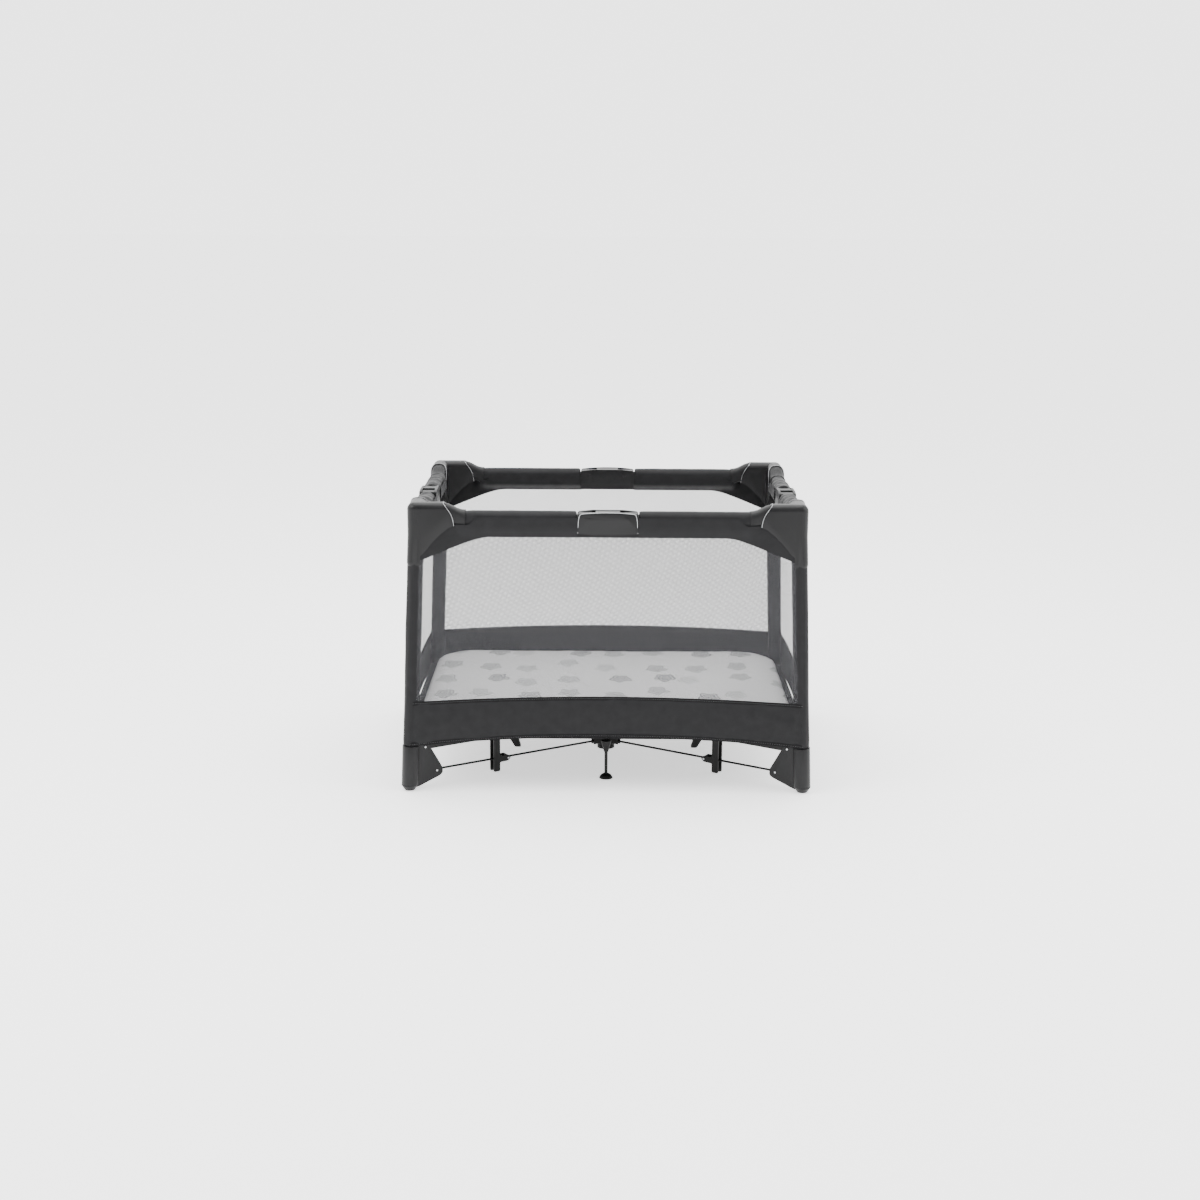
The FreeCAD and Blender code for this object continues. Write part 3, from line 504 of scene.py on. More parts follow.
def wall_run(wall, z):
    """Distance from the middle of a wall to the post axis at height z."""
    x, y = post_axis(z)
    return x if wall in ("front", "back") else y


def corner_of(wall, half):
    """The corner that a wall half belongs to."""
    if wall in ("front", "back"):
        return "%s_%s" % (wall, "left" if half < 0 else "right")
    return "%s_%s" % ("front" if half < 0 else "back", wall)


def fold_with_wall(obj, wall, half):
    """Ride on the corner that the wall half belongs to, with a mesh of its own."""
    corner = corner_of(wall, half)
    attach(obj, "corner_" + corner)
    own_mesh(obj)


# ---- outlines of the walls -----------------------------------------------------------
def share(wall, d):
    return min(1.0, d / wall_run(wall, 0.2))


def skirt_low(wall, d):
    s = sizes()
    return s.skirt_low_middle - (s.skirt_low_middle - s.skirt_low_corner) * share(wall, d) ** 2.2


def skirt_top(wall, d):
    s = sizes()
    return s.skirt_top_middle - (s.skirt_top_middle - s.skirt_top_corner) * share(wall, d) ** 2


def window_top(wall, d):
    s = sizes()
    past = max(0.0, d - (wall_run(wall, s.window_top) - s.gusset_run))
    return s.window_top - 0.43 * (math.hypot(past, 0.04) - 0.04)


def strip(name, wall, half, lower, upper, out, cols, rows, material, thickness, ends=(0.0, 1.0)):
    """A strip of cloth on half a wall between two edge curves.  Returns it and its flat area."""
    verts = []
    for i in range(cols + 1):
        u = ends[0] + (ends[1] - ends[0]) * i / cols
        for j in range(rows + 1):
            v = j / rows
            d = u * wall_run(wall, 0.45)
            z = lower(wall, d) + (upper(wall, d) - lower(wall, d)) * v
            along = u * wall_run(wall, z)
            verts.append(on_wall(wall, half * along, out(along, z, u, v), z))
    obj = make_object(name, verts, grid_faces(cols, rows), material)
    area = sum(p.area for p in obj.data.polygons)
    solid = obj.modifiers.new("thickness", "SOLIDIFY")
    solid.thickness = thickness
    solid.offset = 0.0
    apply_modifiers(obj)
    turn_outward(obj)
    obj.data.set_sharp_from_angle(angle=math.radians(50))
    return obj, area


def crease(along, z, seed, strength):
    """Soft creases that run down towards the corners."""
    p = Vector((along * 9.0 + z * 5.0, z * 16.0 - along * 6.0, seed))
    q = Vector((along * 24.0 + z * 17.0, z * 30.0 - along * 13.0, seed + 7.0))
    return strength * (noise.noise(p) + 0.45 * noise.noise(q))


# ---- operators: hard parts -----------------------------------------------------------
def dressed(node, body, material, rounding):
    """A smooth-edged copy of a CAD node that stands for it."""
    source = frame["nodes"][node]
    mesh = source.data.copy()
    mesh.transform(source.matrix_world)
    obj = bpy.data.objects.new("finished_" + node, mesh)
    bpy.context.scene.collection.objects.link(obj)
    mesh.materials.clear()
    mesh.materials.append(material)
    work = bmesh.new()
    work.from_mesh(mesh)
    bmesh.ops.remove_doubles(work, verts=work.verts, dist=2e-5)
    bmesh.ops.dissolve_limit(work, angle_limit=math.radians(1.0), verts=work.verts,
                             edges=work.edges)
    work.to_mesh(mesh)
    work.free()
    if rounding > 0:
        bevel = obj.modifiers.new("round", "BEVEL")
        bevel.width = rounding
        bevel.segments = 3
        bevel.limit_method = "ANGLE"
        bevel.angle_limit = math.radians(32)
        bevel.harden_normals = False
        apply_modifiers(obj)
    obj.data.polygons.foreach_set("use_smooth", [True] * len(obj.data.polygons))
    obj.data.set_sharp_from_angle(angle=math.radians(38))
    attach(obj, body)
    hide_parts(node)
    return obj


class PLAYPEN_OT_housings(bpy.types.Operator):
    """Moulded corner housings"""
    bl_idname = "playpen.housings"
    bl_label = "Corner housings"

    def execute(self, context):
        for corner in CORNERS:
            dressed("corner_housing_" + corner, "corner_" + corner, moulded_plastic(),
                    sizes().edge_round)
        return {"FINISHED"}


class PLAYPEN_OT_feet(bpy.types.Operator):
    """Corner feet, middle legs, hub and braces"""
    bl_idname = "playpen.feet"
    bl_label = "Feet, legs and hub"

    def execute(self, context):
        for corner in CORNERS:
            dressed("foot_" + corner, "corner_" + corner, moulded_plastic(), 0.0022)
            dressed("mid_leg_" + corner, "middle_leg_" + corner, black_finish(), 0.001)
        for side in WALLS:
            dressed("brace_" + side, "brace_body_" + side, black_finish(), 0.0008)
            dressed("bracket_" + side, "bracket_body_" + side, moulded_plastic(), 0.0025)
        for node in ("hub_top", "hub_base"):
            dressed(node, "hub", black_finish(), 0.0008)
        for name, node in frame["nodes"].items():
            if name.startswith(("strut_", "rod_", "post_")) or (
                    name.startswith("rail_") and not name.startswith("rail_pad")):
                node.data.materials.clear()
                node.data.materials.append(black_finish())
        return {"FINISHED"}


# ---- repeated pieces -----------------------------------------------------------------
def repeat_tree(name, spaced):
    """Geometry nodes that put a small rounded piece on every point of a path or point set."""
    tree = bpy.data.node_groups.get(name)
    if tree:
        return tree
    tree = bpy.data.node_groups.new(name, "GeometryNodeTree")
    group_socket(tree, "Geometry", "NodeSocketGeometry")
    group_socket(tree, "Spacing", "NodeSocketFloat", 0.006)
    group_socket(tree, "Facing", "NodeSocketVector")
    group_socket(tree, "Size", "NodeSocketVector")
    group_socket(tree, "Material", "NodeSocketMaterial")
    group_socket(tree, "Geometry", "NodeSocketGeometry", out=True)
    start, end = add_node(tree, "NodeGroupInput"), add_node(tree, "NodeGroupOutput")
    segments, rings = (6, 4) if spaced else (20, 10)
    piece = add_node(tree, "GeometryNodeMeshUVSphere",
                     {"Segments": segments, "Rings": rings, "Radius": 1.0})
    if spaced:
        line = feed(tree, add_node(tree, "GeometryNodeMeshToCurve"),
                    Mesh=start.outputs["Geometry"])
        even = add_node(tree, "GeometryNodeResampleCurve", mode="LENGTH")
        points = feed(tree, even, Curve=line.outputs["Curve"],
                      Length=start.outputs["Spacing"]).outputs["Curve"]
        facing = add_node(tree, "GeometryNodeInputTangent").outputs["Tangent"]
    else:
        points = feed(tree, add_node(tree, "GeometryNodeMeshToPoints"),
                      Mesh=start.outputs["Geometry"]).outputs["Points"]
        facing = start.outputs["Facing"]
    turn = feed(tree, add_node(tree, "FunctionNodeAlignRotationToVector", axis="Z"),
                Vector=facing)
    place = feed(tree, add_node(tree, "GeometryNodeInstanceOnPoints"), Points=points,
                 Instance=piece.outputs["Mesh"], Rotation=turn.outputs["Rotation"],
                 Scale=start.outputs["Size"])
    real = feed(tree, add_node(tree, "GeometryNodeRealizeInstances"),
                Geometry=place.outputs["Instances"])
    paint = feed(tree, add_node(tree, "GeometryNodeSetMaterial"),
                 Geometry=real.outputs["Geometry"], Material=start.outputs["Material"])
    feed(tree, end, Geometry=paint.outputs["Geometry"])
    return tree


def repeated(name, points, tree, material, values):
    """A plain mesh of the repeated pieces on the given points."""
    mesh = bpy.data.meshes.new(name)
    mesh.from_pydata([tuple(p) for p in points], [(i, i + 1) for i in range(len(points) - 1)], [])
    obj = bpy.data.objects.new(name, mesh)
    bpy.context.scene.collection.objects.link(obj)
    nodes = obj.modifiers.new("repeat", "NODES")
    nodes.node_group = tree
    sockets = {item.name: item.identifier for item in tree.interface.items_tree
               if item.in_out == "INPUT"}
    for key, value in dict(values, Material=material).items():
        nodes[sockets[key]] = value
    apply_modifiers(obj)
    obj.data.polygons.foreach_set("use_smooth", [True] * len(obj.data.polygons))
    return obj


def stitches(name, path):
    gap = sizes().stitch_spacing
    return repeated(name, path, repeat_tree("Stitch row", True), thread(),
                    {"Spacing": gap, "Size": (0.0005, 0.0005, gap * 0.36)})


def joint_place(name):
    return Vector(JOINTS[name]["pos_m"])


def pin_heads(name, points, facing):
    r = sizes().pin_radius
    return repeated(name, points, repeat_tree("Pin heads", False), bright_trim(),
                    {"Facing": tuple(facing), "Size": (r, r, r * 0.42)})


# ---- trims ---------------------------------------------------------------------------
def bead(name, points, radius, material):
    """A thin rounded bead along a path, as a closed mesh at the origin."""
    curve = bpy.data.curves.new(name, "CURVE")
    curve.dimensions = "3D"
    curve.bevel_depth = radius
    curve.bevel_resolution = 2
    curve.use_fill_caps = True
    line = curve.splines.new("NURBS")
    line.points.add(len(points) - 1)
    for point, place in zip(line.points, points):
        point.co = (*place, 1.0)
    line.order_u = 3
    line.use_endpoint_u = True
    curve.resolution_u = 6
    holder = bpy.data.objects.new(name + "_path", curve)
    bpy.context.scene.collection.objects.link(holder)
    bpy.context.view_layer.update()
    depsgraph = bpy.context.evaluated_depsgraph_get()
    mesh = bpy.data.meshes.new_from_object(holder.evaluated_get(depsgraph))
    bpy.data.objects.remove(holder)
    obj = bpy.data.objects.new(name, mesh)
    bpy.context.scene.collection.objects.link(obj)
    mesh.materials.clear()
    mesh.materials.append(material)
    turn_outward(obj)
    mesh.polygons.foreach_set("use_smooth", [True] * len(mesh.polygons))
    return obj


def arm_end(reach, wide):
    """The arch round the open end of a housing arm: (distance from the post, across, z)."""
    side = [(reach * share, wide, TOP - down) for share, down in
            ((0.995, 0.060), (0.985, 0.048), (0.935, 0.031), (0.87, 0.020))]
    k = 0.018 * math.sqrt(0.5)
    side += [(reach * 0.80, wide - 0.0013, TOP - 0.011),
             (reach * 0.75, wide - 0.018 + k, TOP - 0.0045),
             (reach * 0.722, wide - 0.0105, TOP - 0.001), (reach * 0.712, 0.003, TOP + 0.0002)]
    return side + [(r, -w, z) for r, w, z in reversed(side)]


class PLAYPEN_OT_trims(bpy.types.Operator):
    """Bright lines at the housing arms and on the middle brackets"""
    bl_idname = "playpen.trims"
    bl_label = "Bright trims"

    def execute(self, context):
        post_x, post_y = RAIL_X, RAIL_Y
        wide = 0.0226
        for corner, (sx, sy) in CORNERS.items():
            loop = arm_end(post_x - HOUSING_LO[0], wide)
            pts = [(sx * (post_x - r), sy * (post_y + w), z) for r, w, z in loop]
            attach(bead("arm_line_" + corner, pts, 0.0005, bright_trim()),
                            "corner_" + corner)
            loop = arm_end(post_y - HOUSING_LO[1], wide)
            pts = [(sx * (post_x + w), sy * (post_y - r), z) for r, w, z in loop]
            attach(bead("arch_trim_" + corner, pts, 0.0015, arch_metal()),
                            "corner_" + corner)
        self.pins()
        half = BRACKET_HI[0] - 0.002
        for wall, sy in (("front", -1), ("back", 1)):
            y = sy * (RAIL_Y + 0.0245)
            top = BRACKET_HI[2]
            pts = [(-half, y, top - 0.040), (-half, y, top - 0.006), (-half * 0.8, y, top - 0.002),
                   (0, y, top + 0.0008), (half * 0.8, y, top - 0.002), (half, y, top - 0.006),
                   (half, y, top - 0.040)]
            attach(bead("bracket_line_" + wall, pts, 0.0008, bright_trim()),
                            "bracket_body_" + wall)
        return {"FINISHED"}

    def pins(self):
        """Bright pin heads on both faces of every fork at the feet and the middle legs."""
        for corner, (sx, sy) in CORNERS.items():
            hub_end = "hub_front_left" if corner == "front_left" else "strut_" + corner
            foot_end = "fold" if corner == "front_left" else "post_" + corner
            to_rod = joint_place("rod_" + corner) - joint_place(hub_end)
            across = Vector((-sy * RAIL_Y, sx * RAIL_X, 0)).normalized()
            for node, body, joint in (("foot", "corner_", foot_end),
                                      ("mid_leg", "middle_leg_", "middle_leg_" + corner)):
                upper = joint_place(joint)
                for side in (-1, 1):
                    out = across * side
                    places = [upper + out * FORK_FACE, upper + to_rod + out * FORK_FACE]
                    heads = pin_heads("pins_%s_%s_%d" % (node, corner, side), places, out)
                    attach(heads, body + corner)


# ---- post sleeves --------------------------------------------------------------------
class PLAYPEN_OT_sleeves(bpy.types.Operator):
    """Fabric sleeves on the four posts, with soft folds"""
    bl_idname = "playpen.sleeves"
    bl_label = "Post sleeves"

    def execute(self, context):
        s = sizes()
        around, rings = 40, 70
        low, high = FOOT_HI[2] - 0.001, HOUSING_LO[2] + 0.03
        for n, (corner, (sx, sy)) in enumerate(CORNERS.items()):
            verts = []
            for i in range(rings):
                z = low + (high - low) * i / (rings - 1)
                x, y = post_axis(z)
                edge = 1.0 - 0.06 * ramp01(z, low + 0.02, low)
                for k in range(around):
                    a = 2 * math.pi * k / around
                    p = Vector((math.cos(a) * 2.2, math.sin(a) * 2.2, z * 5.5 + 11.0 * n))
                    fold = noise.noise(p) + 0.4 * noise.noise(p * 3.1)
                    r = s.sleeve_radius * edge + s.sleeve_fold * fold
                    verts.append((sx * (x + r * math.cos(a)), sy * (y + r * math.sin(a)), z))
            obj = make_object("sleeve_" + corner, verts, tube_faces(rings, around), cover_cloth())
            turn_outward(obj)
            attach(obj, "corner_" + corner)
        return {"FINISHED"}


# ---- walls ---------------------------------------------------------------------------
class PLAYPEN_OT_walls(bpy.types.Operator):
    """Mesh windows, skirts, gussets and bindings of the four walls, each in two halves"""
    bl_idname = "playpen.walls"
    bl_label = "Walls"

    def execute(self, context):
        s = sizes()
        wall_out = s.wall_out
        for wall in WALLS:
            is_long = wall in ("front", "back")
            pad_end = (PAD_HI[0] if is_long else SIDE_PAD_HI[1]) - 0.012
            rail_at = RAIL_Y if is_long else RAIL_X
            bracket_half = BRACKET_HI[0] if is_long else SIDE_BRACKET_HI[1]
            for half in (-1, 1):
                corner = corner_of(wall, half)
                tag = "%s_%s" % (wall, corner.replace(wall, "").strip("_"))
                seed = 3.0 * WALLS.index(wall) + half

                def net_out(along, z, u, v):
                    billow = math.sin(math.pi * v) * (1 - u ** 2) * 0.003
                    return wall_out - billow

                net, area = strip("net_" + tag, wall, half,
                                  lambda w, d: skirt_top(w, d) - 0.004,
                                  lambda w, d: window_top(w, d) + 0.004,
                                  net_out, 36, 24, net_mesh(), 0.0006)
                self.cloth(net, wall, half, area)

                def skirt_out(along, z, u, v):
                    near = ramp01(u, 0.45, 1.0) + 0.35
                    hold = math.sin(math.pi * v) ** 0.6 * ramp01(1 - u, 0.0, 0.05)
                    wave = crease(half * along, z, seed, s.skirt_fold) * near * hold
                    return wall_out + 0.0012 + 0.003 * hold + wave * ramp01(u, 0.0, 0.04)

                skirt, area = strip("skirt_" + tag, wall, half, skirt_low, skirt_top, skirt_out,
                                    72, 16, cover_cloth(), s.cloth_thickness)
                self.cloth(skirt, wall, half, area)
                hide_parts("wall_" + corner)

                def cover_top(w, d):
                    return PAD_LO[2] + 0.012 + 0.021 * (1 - ramp01(d, pad_end - 0.03, pad_end))

                def wrapped(along, z, side):
                    """Distance outside the post axis where the cover lies on the padding."""
                    x, y = post_axis(z)
                    s_up = max(0.0, (z - RAIL_Z) / PAD_HALF)
                    round_off = (1 - s_up ** 2.4) ** (1 / 2.4)
                    return rail_at + side * (PAD_HALF * round_off + 0.0004) - (y if is_long else x)

                def band_out(along, z, u, v):
                    under = 1 - ramp01(along, pad_end, pad_end + 0.03)
                    rise = ramp01(z, PAD_LO[2] - 0.028, PAD_LO[2] + 0.006)
                    wave = crease(half * along, z, seed + 40, 0.0012) * ramp01(1 - v, 0.0, 0.3)
                    lift = (wrapped(along, z, 1) - wall_out) * rise * under
                    return wall_out + 0.001 + lift + wave * (1 - under)

                held = (bracket_half + 0.0018) / wall_run(wall, 0.45)
                band, area = strip("band_" + tag, wall, half, window_top, cover_top, band_out,
                                   72, 14, cover_cloth(), s.cloth_thickness, (held, 1.0))
                self.cloth(band, wall, half, area)
                behind, area = strip("band_middle_" + tag, wall, half, window_top,
                                     lambda w, d: BRACKET_LO[2] + 0.004 + 0 * d,
                                     lambda along, z, u, v: wall_out + 0.001,
                                     8, 3, cover_cloth(), s.cloth_thickness, (0.0, held))
                self.cloth(behind, wall, half, area)

                def lining_out(along, z, u, v):
                    under = 1 - ramp01(along, pad_end, pad_end + 0.03)
                    rise = ramp01(z, PAD_LO[2] - 0.028, PAD_LO[2] + 0.006)
                    return wall_out - 0.002 + (wrapped(along, z, -1) - wall_out) * rise * under

                lining, area = strip("lining_" + tag, wall, half, window_top, cover_top,
                                     lining_out, 60, 14, cover_cloth(), s.cloth_thickness,
                                     (held, 1.0))
                self.cloth(lining, wall, half, area)

                for part, low_edge, top_edge, lift in (
                        ("tape", lambda w, d: skirt_top(w, d) - 0.008,
                         lambda w, d: skirt_top(w, d) + 0.002, 0.0022),
                        ("hem", skirt_low, lambda w, d: skirt_low(w, d) + 0.010, 0.0026)):
                    tape, area = strip("%s_%s" % (part, tag), wall, half, low_edge, top_edge,
                                       lambda along, z, u, v: wall_out + lift,
                                       60, 2, binding_tape(), 0.0016)
                    self.cloth(tape, wall, half, area)
                    path = []
                    for i in range(61):
                        d = i / 60 * wall_run(wall, 0.45)
                        z = (low_edge(wall, d) + top_edge(wall, d)) / 2
                        path.append(on_wall(wall, half * i / 60 * wall_run(wall, z),
                                            wall_out + lift + 0.0009, z))
                    seam = stitches("stitches_%s_%s" % (part, tag), path)
                    fold_with_wall(seam, wall, half)
        return {"FINISHED"}

    def cloth(self, obj, wall, half, area):
        fold_with_wall(obj, wall, half)


# ---- rail padding --------------------------------------------------------------------
def swell(obj, voxel, cap, pressure=4.0):
    """Cloth simulation that crowns a padded piece, with each point's movement capped."""
    rest = obj.modifiers.new("remesh", "REMESH")
    rest.mode = "VOXEL"
    rest.voxel_size = voxel
    apply_modifiers(obj)
    before = [v.co.copy() for v in obj.data.vertices]
    cloth = obj.modifiers.new("cloth", "CLOTH")
    cloth.settings.use_pressure = True
    cloth.settings.uniform_pressure_force = pressure
    cloth.settings.effector_weights.gravity = 0.0
    cloth.settings.quality = 5
    scene = bpy.context.scene
    last = sizes().sim_frames
    cloth.point_cache.frame_start = 1
    cloth.point_cache.frame_end = last
    for f in range(1, last + 1):
        scene.frame_set(f)
    apply_modifiers(obj)
    scene.frame_set(1)
    for vertex, start in zip(obj.data.vertices, before):
        move = vertex.co - start
        if move.length > cap:
            vertex.co = start + move.normalized() * cap
    smooth = obj.modifiers.new("smooth", "SUBSURF")
    smooth.levels = smooth.render_levels = 1
    apply_modifiers(obj)
    obj.data.polygons.foreach_set("use_smooth", [True] * len(obj.data.polygons))
    return obj


def rail_ring(x, half_w, low, high, round_top, round_low, n=36):
    """A ring round the rail at x: a squarish section with a rounder top."""
    pts = []
    mid, tall = (low + high) / 2, (high - low) / 2
    for k in range(n):
        a = 2 * math.pi * k / n
        c, s = math.cos(a), math.sin(a)
        power = 2.0 / (round_top if s > 0 else round_low)
        pts.append((x, math.copysign(abs(c) ** power, c) * half_w,
                    mid + math.copysign(abs(s) ** power, s) * tall))
    return pts


def place_rail(points, wall, half):
    """Points drawn along +X, centred on Y = 0, moved onto a rail half."""
    if wall in ("front", "back"):
        sy = -1 if wall == "front" else 1
        return [(half * x, sy * (RAIL_Y + y), z) for x, y, z in points]
    sx = -1 if wall == "left" else 1
    return [(sx * (RAIL_X + y), half * x, z) for x, y, z in points]


class PLAYPEN_OT_padding(bpy.types.Operator):
    """Padded sleeves and collars on the eight half rails"""
    bl_idname = "playpen.padding"
    bl_label = "Rail padding"

    def execute(self, context):
        s = sizes()
        for wall in WALLS:
            is_long = wall in ("front", "back")
            start = (PAD_LO[0] if is_long else SIDE_PAD_LO[1]) - 0.0045
            end = PAD_HI[0] if is_long else SIDE_PAD_HI[1]
            deep = s.pad_wrinkle * (0.8 if is_long else 3.0)
            for half in (-1, 1):
                other = corner_of(wall, half).replace(wall, "").strip("_")
                body = "rail_body_%s_%s" % (wall, other)
                node = "rail_pad_%s_%s" % (wall, other)
                rings = int((end - start) / 0.0035)
                pts = []
                for i in range(rings + 1):
                    x = start + (end - start) * i / rings
                    tip = min(x - start, end - x)
                    gather = ramp01(end - x, 0.05, 0.0)
                    shrink = 1 - 0.07 * ramp01(tip, 0.004, 0.0) - 0.05 * gather
                    for px, py, pz in rail_ring(x, (PAD_HALF - 0.0016) * shrink,
                                                RAIL_Z - (PAD_HALF - 0.0006) * shrink,
                                                RAIL_Z + (PAD_HALF - 0.0016) * shrink, 2.4, 6.0):
                        seed = 5.0 * WALLS.index(wall) + half
                        p = Vector((px * 30.0, py * 22.0 + seed, pz * 22.0))
                        wave = noise.noise(p) * deep * (0.35 + 1.4 * gather)
                        if not is_long:
                            q = Vector((px * 55.0, py * 40.0, pz * 45.0 + seed))
                            wave += noise.noise(q) * deep * 0.8
                        away = Vector((0, py, pz - RAIL_Z)).normalized() * wave
                        pts.append((px, py + away.y, pz + away.z))
                # the short rails take the lighter cloth, partly painted sheen
                obj = make_object("padding_%s_%s" % (wall, other),
                                  place_rail(pts, wall, half), tube_faces(rings + 1, 36),
                                  cover_cloth() if is_long else side_cloth_and_painted_sheen())
                turn_outward(obj)
                swell(obj, 0.005, 0.0015)
                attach(obj, body)
                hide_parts(node)
                self.collar(wall, half, other, end, body)
        return {"FINISHED"}

    def collar(self, wall, half, corner, end, body):
        """The dark boot from the housing arm's sloping end to the padding."""
        is_long = wall in ("front", "back")
        post = RAIL_X if is_long else RAIL_Y
        reach = (post - HOUSING_LO[0]) if is_long else (post - HOUSING_LO[1])
        around, rings = 40, 14
        pts = []
        for i in range(rings):
            t = i / (rings - 1)
            for k in range(around):
                a = 2 * math.pi * k / around
                c, s = math.cos(a), math.sin(a)
                power = 0.8 if s > 0 else 0.5
                across = math.copysign(abs(c) ** power, c)
                up = math.copysign(abs(s) ** power, s)
                z0 = TOP - 0.0305 + 0.0285 * up
                drop = (TOP - z0) / 0.059
                first = (post - reach * (0.71 + 0.29 * drop ** 0.55) + 0.003, across * 0.0215, z0)
                last = (end - 0.014, across * (PAD_HALF + 0.0002),
                        RAIL_Z + up * (PAD_HALF + 0.0002))
                ease = t * t * (3 - 2 * t)
                p = [first[n] + (last[n] - first[n]) * (t if n == 0 else ease) for n in range(3)]
                waist = math.sin(math.pi * t) * 0.0016
                ripple = noise.noise(Vector((p[0] * 60, p[1] * 30, p[2] * 30))) * 0.0008
                p[1] -= c * (waist + ripple)
                p[2] -= s * (waist + ripple)
                pts.append(tuple(p))
        obj = make_object("collar_%s_%s" % (wall, corner), place_rail(pts, wall, half),
                          tube_faces(rings, around), collar_finish())
        turn_outward(obj)
        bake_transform(obj)


# ---- floor and mattress --------------------------------------------------------------
def corner_limit(x, y, half_x, half_y, r):
    """How far inside a rounded rectangle a point is, in metres."""
    qx, qy = abs(x) - (half_x - r), abs(y) - (half_y - r)
    outside = math.hypot(max(qx, 0), max(qy, 0)) + min(max(qx, qy), 0)
    return r - outside


class PLAYPEN_OT_floor(bpy.types.Operator):
    """Fabric floor in four quarters that ride on the base struts"""
    bl_idname = "playpen.floor"
    bl_label = "Fabric floor"

    def execute(self, context):
        x, y = post_axis(FLOOR_HI[2])
        half_x, half_y = x + sizes().wall_out - 0.001, y + sizes().wall_out - 0.001
        n = 26
        for corner, (sx, sy) in CORNERS.items():
            verts, faces = [], []
            for i in range(n + 1):
                for j in range(n + 1):
                    x, y = half_x * i / n, half_y * j / n
                    r = 0.045
                    if x > half_x - r and y > half_y - r:
                        dx, dy = x - (half_x - r), y - (half_y - r)
                        m = max(dx, dy)
                        h = math.hypot(dx, dy)
                        x, y = half_x - r + dx * m / h, half_y - r + dy * m / h
                    verts.append((sx * x, sy * y, FLOOR_HI[2] - 0.0012))
            faces = grid_faces(n, n)
            obj = make_object("floor_" + corner, verts, faces, cover_cloth())
            solid = obj.modifiers.new("thickness", "SOLIDIFY")
            solid.thickness = 0.0015
            solid.offset = 0.0
            apply_modifiers(obj)
            turn_outward(obj)
            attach(obj, "base_strut_" + corner)
            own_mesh(obj)
            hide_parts("floor")
        return {"FINISHED"}


class PLAYPEN_OT_mattress(bpy.types.Operator):
    """Thin mattress in its fitted, softly patterned sheet"""
    bl_idname = "playpen.mattress"
    bl_label = "Mattress"

    def execute(self, context):
        half_x, half_y = MAT_HI[0] - 0.003, MAT_HI[1] - 0.003
        low, high = MAT_LO[2], MAT_HI[2]
        r = 0.107
        around = 120
        outline = []
        for k in range(around):
            a = 2 * math.pi * k / around
            dx, dy = math.cos(a), math.sin(a)
            lo_t, hi_t = 0.0, 1.0
            for _ in range(24):
                t = (lo_t + hi_t) / 2
                if corner_limit(dx * t, dy * t, half_x, half_y, r) > 0:
                    lo_t = t
                else:
                    hi_t = t
            outline.append((dx * lo_t, dy * lo_t))
        levels = [(0.0, 0.985), (0.12, 0.997), (0.4, 1.0), (0.72, 0.998), (0.92, 0.988),
                  (1.0, 0.97)]
        verts = []
        for up, wide in levels:
            for x, y in outline:
                verts.append((x * wide, y * wide, low + (high - low - 0.002) * up))
        obj = make_object("mattress_pad", verts, tube_faces(len(levels), around), sheet_cloth())
        turn_outward(obj)
        swell(obj, 0.0125, 0.0035, 1.5)
        for vertex in obj.data.vertices:
            x, y, z = vertex.co
            inside = corner_limit(x, y, half_x, half_y, r)
            if z > (low + high) / 2:
                ripple = noise.noise(Vector((x * 9, y * 9, 2.0))) * 0.0016
                pull = noise.noise(Vector((x * 30, y * 30, 5.0))) * 0.0014
                vertex.co.z += ripple + pull * ramp01(0.09 - inside, 0.0, 0.08)
            vertex.co.z = max(vertex.co.z, low)
        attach(obj, "mattress")
        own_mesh(obj)
        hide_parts("mattress")
        return {"FINISHED"}


# ---- stage ---------------------------------------------------------------------------
def light(name, place, target, power, size):
    data = bpy.data.lights.new(name, "AREA")
    data.energy = power
    data.size = size
    obj = bpy.data.objects.new(name, data)
    bpy.context.scene.collection.objects.link(obj)
    obj.location = place
    obj.rotation_euler = (Vector(target) - Vector(place)).to_track_quat("-Z", "Y").to_euler()
    return obj


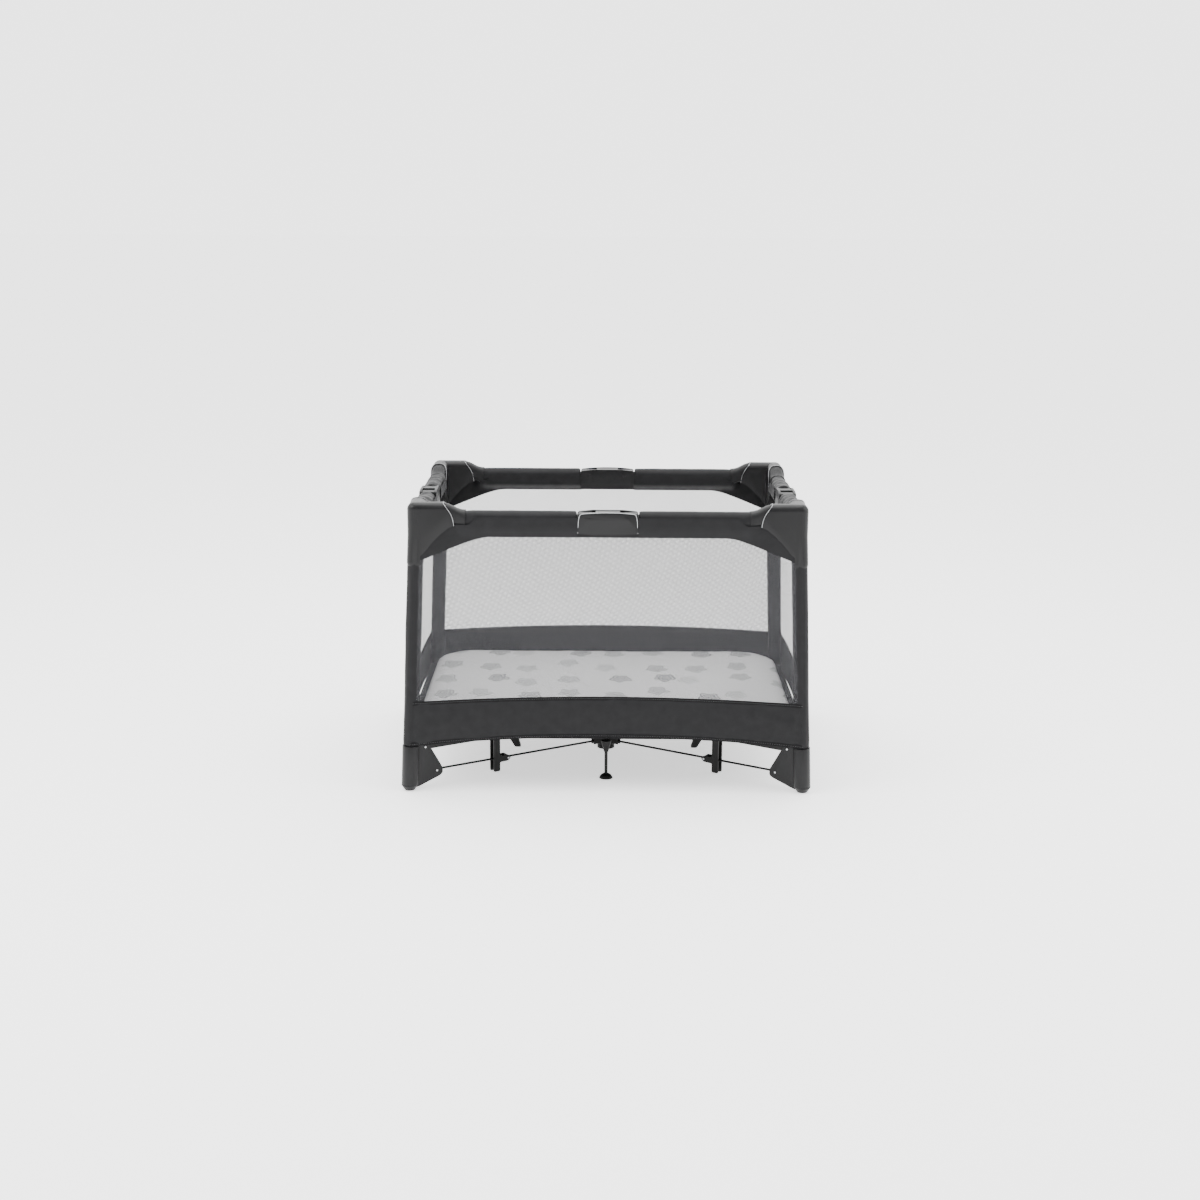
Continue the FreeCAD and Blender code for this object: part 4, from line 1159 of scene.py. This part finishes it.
class PLAYPEN_OT_stage(bpy.types.Operator):
    """White floor and backdrop, soft light and the camera"""
    bl_idname = "playpen.stage"
    bl_label = "Stage"

    def execute(self, context):
        scene = context.scene
        pale, surface = new_material("Stage white", (0.94, 0.94, 0.94, 1.0), 0.9)
        if surface:
            surface.inputs["Emission Color"].default_value = (1.0, 1.0, 1.0, 1.0)
            surface.inputs["Emission Strength"].default_value = STAGE_GLOW
            surface.inputs["Specular IOR Level"].default_value = 0.0
        r = STAGE_HALF
        floor = make_object("stage_floor", [(-r, -r, 0), (r, -r, 0), (r, r, 0), (-r, r, 0)],
                            [(0, 1, 2, 3)], pale)
        floor.location.z = -0.001
        world = bpy.data.worlds.new("studio")
        world.use_nodes = True
        tree = world.node_tree
        parts = feed(tree, add_node(tree, "ShaderNodeSeparateXYZ"),
                     Vector=add_node(tree, "ShaderNodeTexCoord").outputs["Generated"])
        backdrop = tree.nodes["Background"]
        backdrop.inputs["Color"].default_value = (1.0, 1.0, 1.0, 1.0)
        feed(tree, backdrop, Strength=ranged(tree, parts.outputs["Y"], BACKDROP_DEPTH_RANGE,
                                             BACKDROP_STRENGTH_RANGE))
        scene.world = world
        light("key", (-2.6, -1.6, 3.2), (0, 0, 0.4), 90, 2.0)
        light("fill", (2.9, -1.2, 2.6), (0, 0, 0.4), 55, 2.2)
        light("top", (0.0, 0.4, 4.0), (0, 0, 0.2), 110, 3.0)
        data = bpy.data.cameras.new("camera")
        data.sensor_width = 36.0
        data.lens = 52.47
        data.clip_end = 100.0
        camera = bpy.data.objects.new("camera", data)
        scene.collection.objects.link(camera)
        pitch, yaw, roll = math.radians(13.123), math.radians(-0.0626), math.radians(0.3458)
        look = Vector((math.sin(yaw) * math.cos(pitch), math.cos(yaw) * math.cos(pitch),
                       -math.sin(pitch)))
        turn = look.to_track_quat("-Z", "Y").to_matrix() @ Matrix.Rotation(roll, 3, "Z")
        camera.matrix_world = (Matrix.Translation((-0.01434, -4.89985, 1.58339))
                               @ turn.to_4x4())
        scene.camera = camera
        return {"FINISHED"}


class PLAYPEN_PT_panel(bpy.types.Panel):
    """Everything the playpen is built from"""
    bl_label = "Playpen"
    bl_idname = "PLAYPEN_PT_panel"
    bl_space_type = "VIEW_3D"
    bl_region_type = "UI"
    bl_category = "Playpen"

    def draw(self, context):
        for group in (context.scene.playpen_sizes, context.scene.playpen_colours):
            box = self.layout.box()
            for name in group.__annotations__:
                box.prop(group, name)
        for operator in OPERATORS:
            self.layout.operator(operator.bl_idname)


OPERATORS = (PLAYPEN_OT_stage, PLAYPEN_OT_housings, PLAYPEN_OT_feet, PLAYPEN_OT_trims,
             PLAYPEN_OT_sleeves, PLAYPEN_OT_walls, PLAYPEN_OT_padding, PLAYPEN_OT_floor,
             PLAYPEN_OT_mattress)
CLASSES = (PlaypenSizes, PlaypenColours) + OPERATORS + (PLAYPEN_PT_panel,)


def register():
    for cls in CLASSES:
        bpy.utils.register_class(cls)
    bpy.types.Scene.playpen_sizes = PointerProperty(type=PlaypenSizes)
    bpy.types.Scene.playpen_colours = PointerProperty(type=PlaypenColours)


def unregister():
    del bpy.types.Scene.playpen_colours
    del bpy.types.Scene.playpen_sizes
    for cls in reversed(CLASSES):
        bpy.utils.unregister_class(cls)


def main():
    register()
    bpy.ops.playpen.stage()
    bpy.ops.playpen.housings()
    bpy.ops.playpen.feet()
    bpy.ops.playpen.trims()
    bpy.ops.playpen.sleeves()
    bpy.ops.playpen.walls()
    bpy.ops.playpen.padding()
    bpy.ops.playpen.floor()
    bpy.ops.playpen.mattress()


if __name__ == "__main__":
    main()
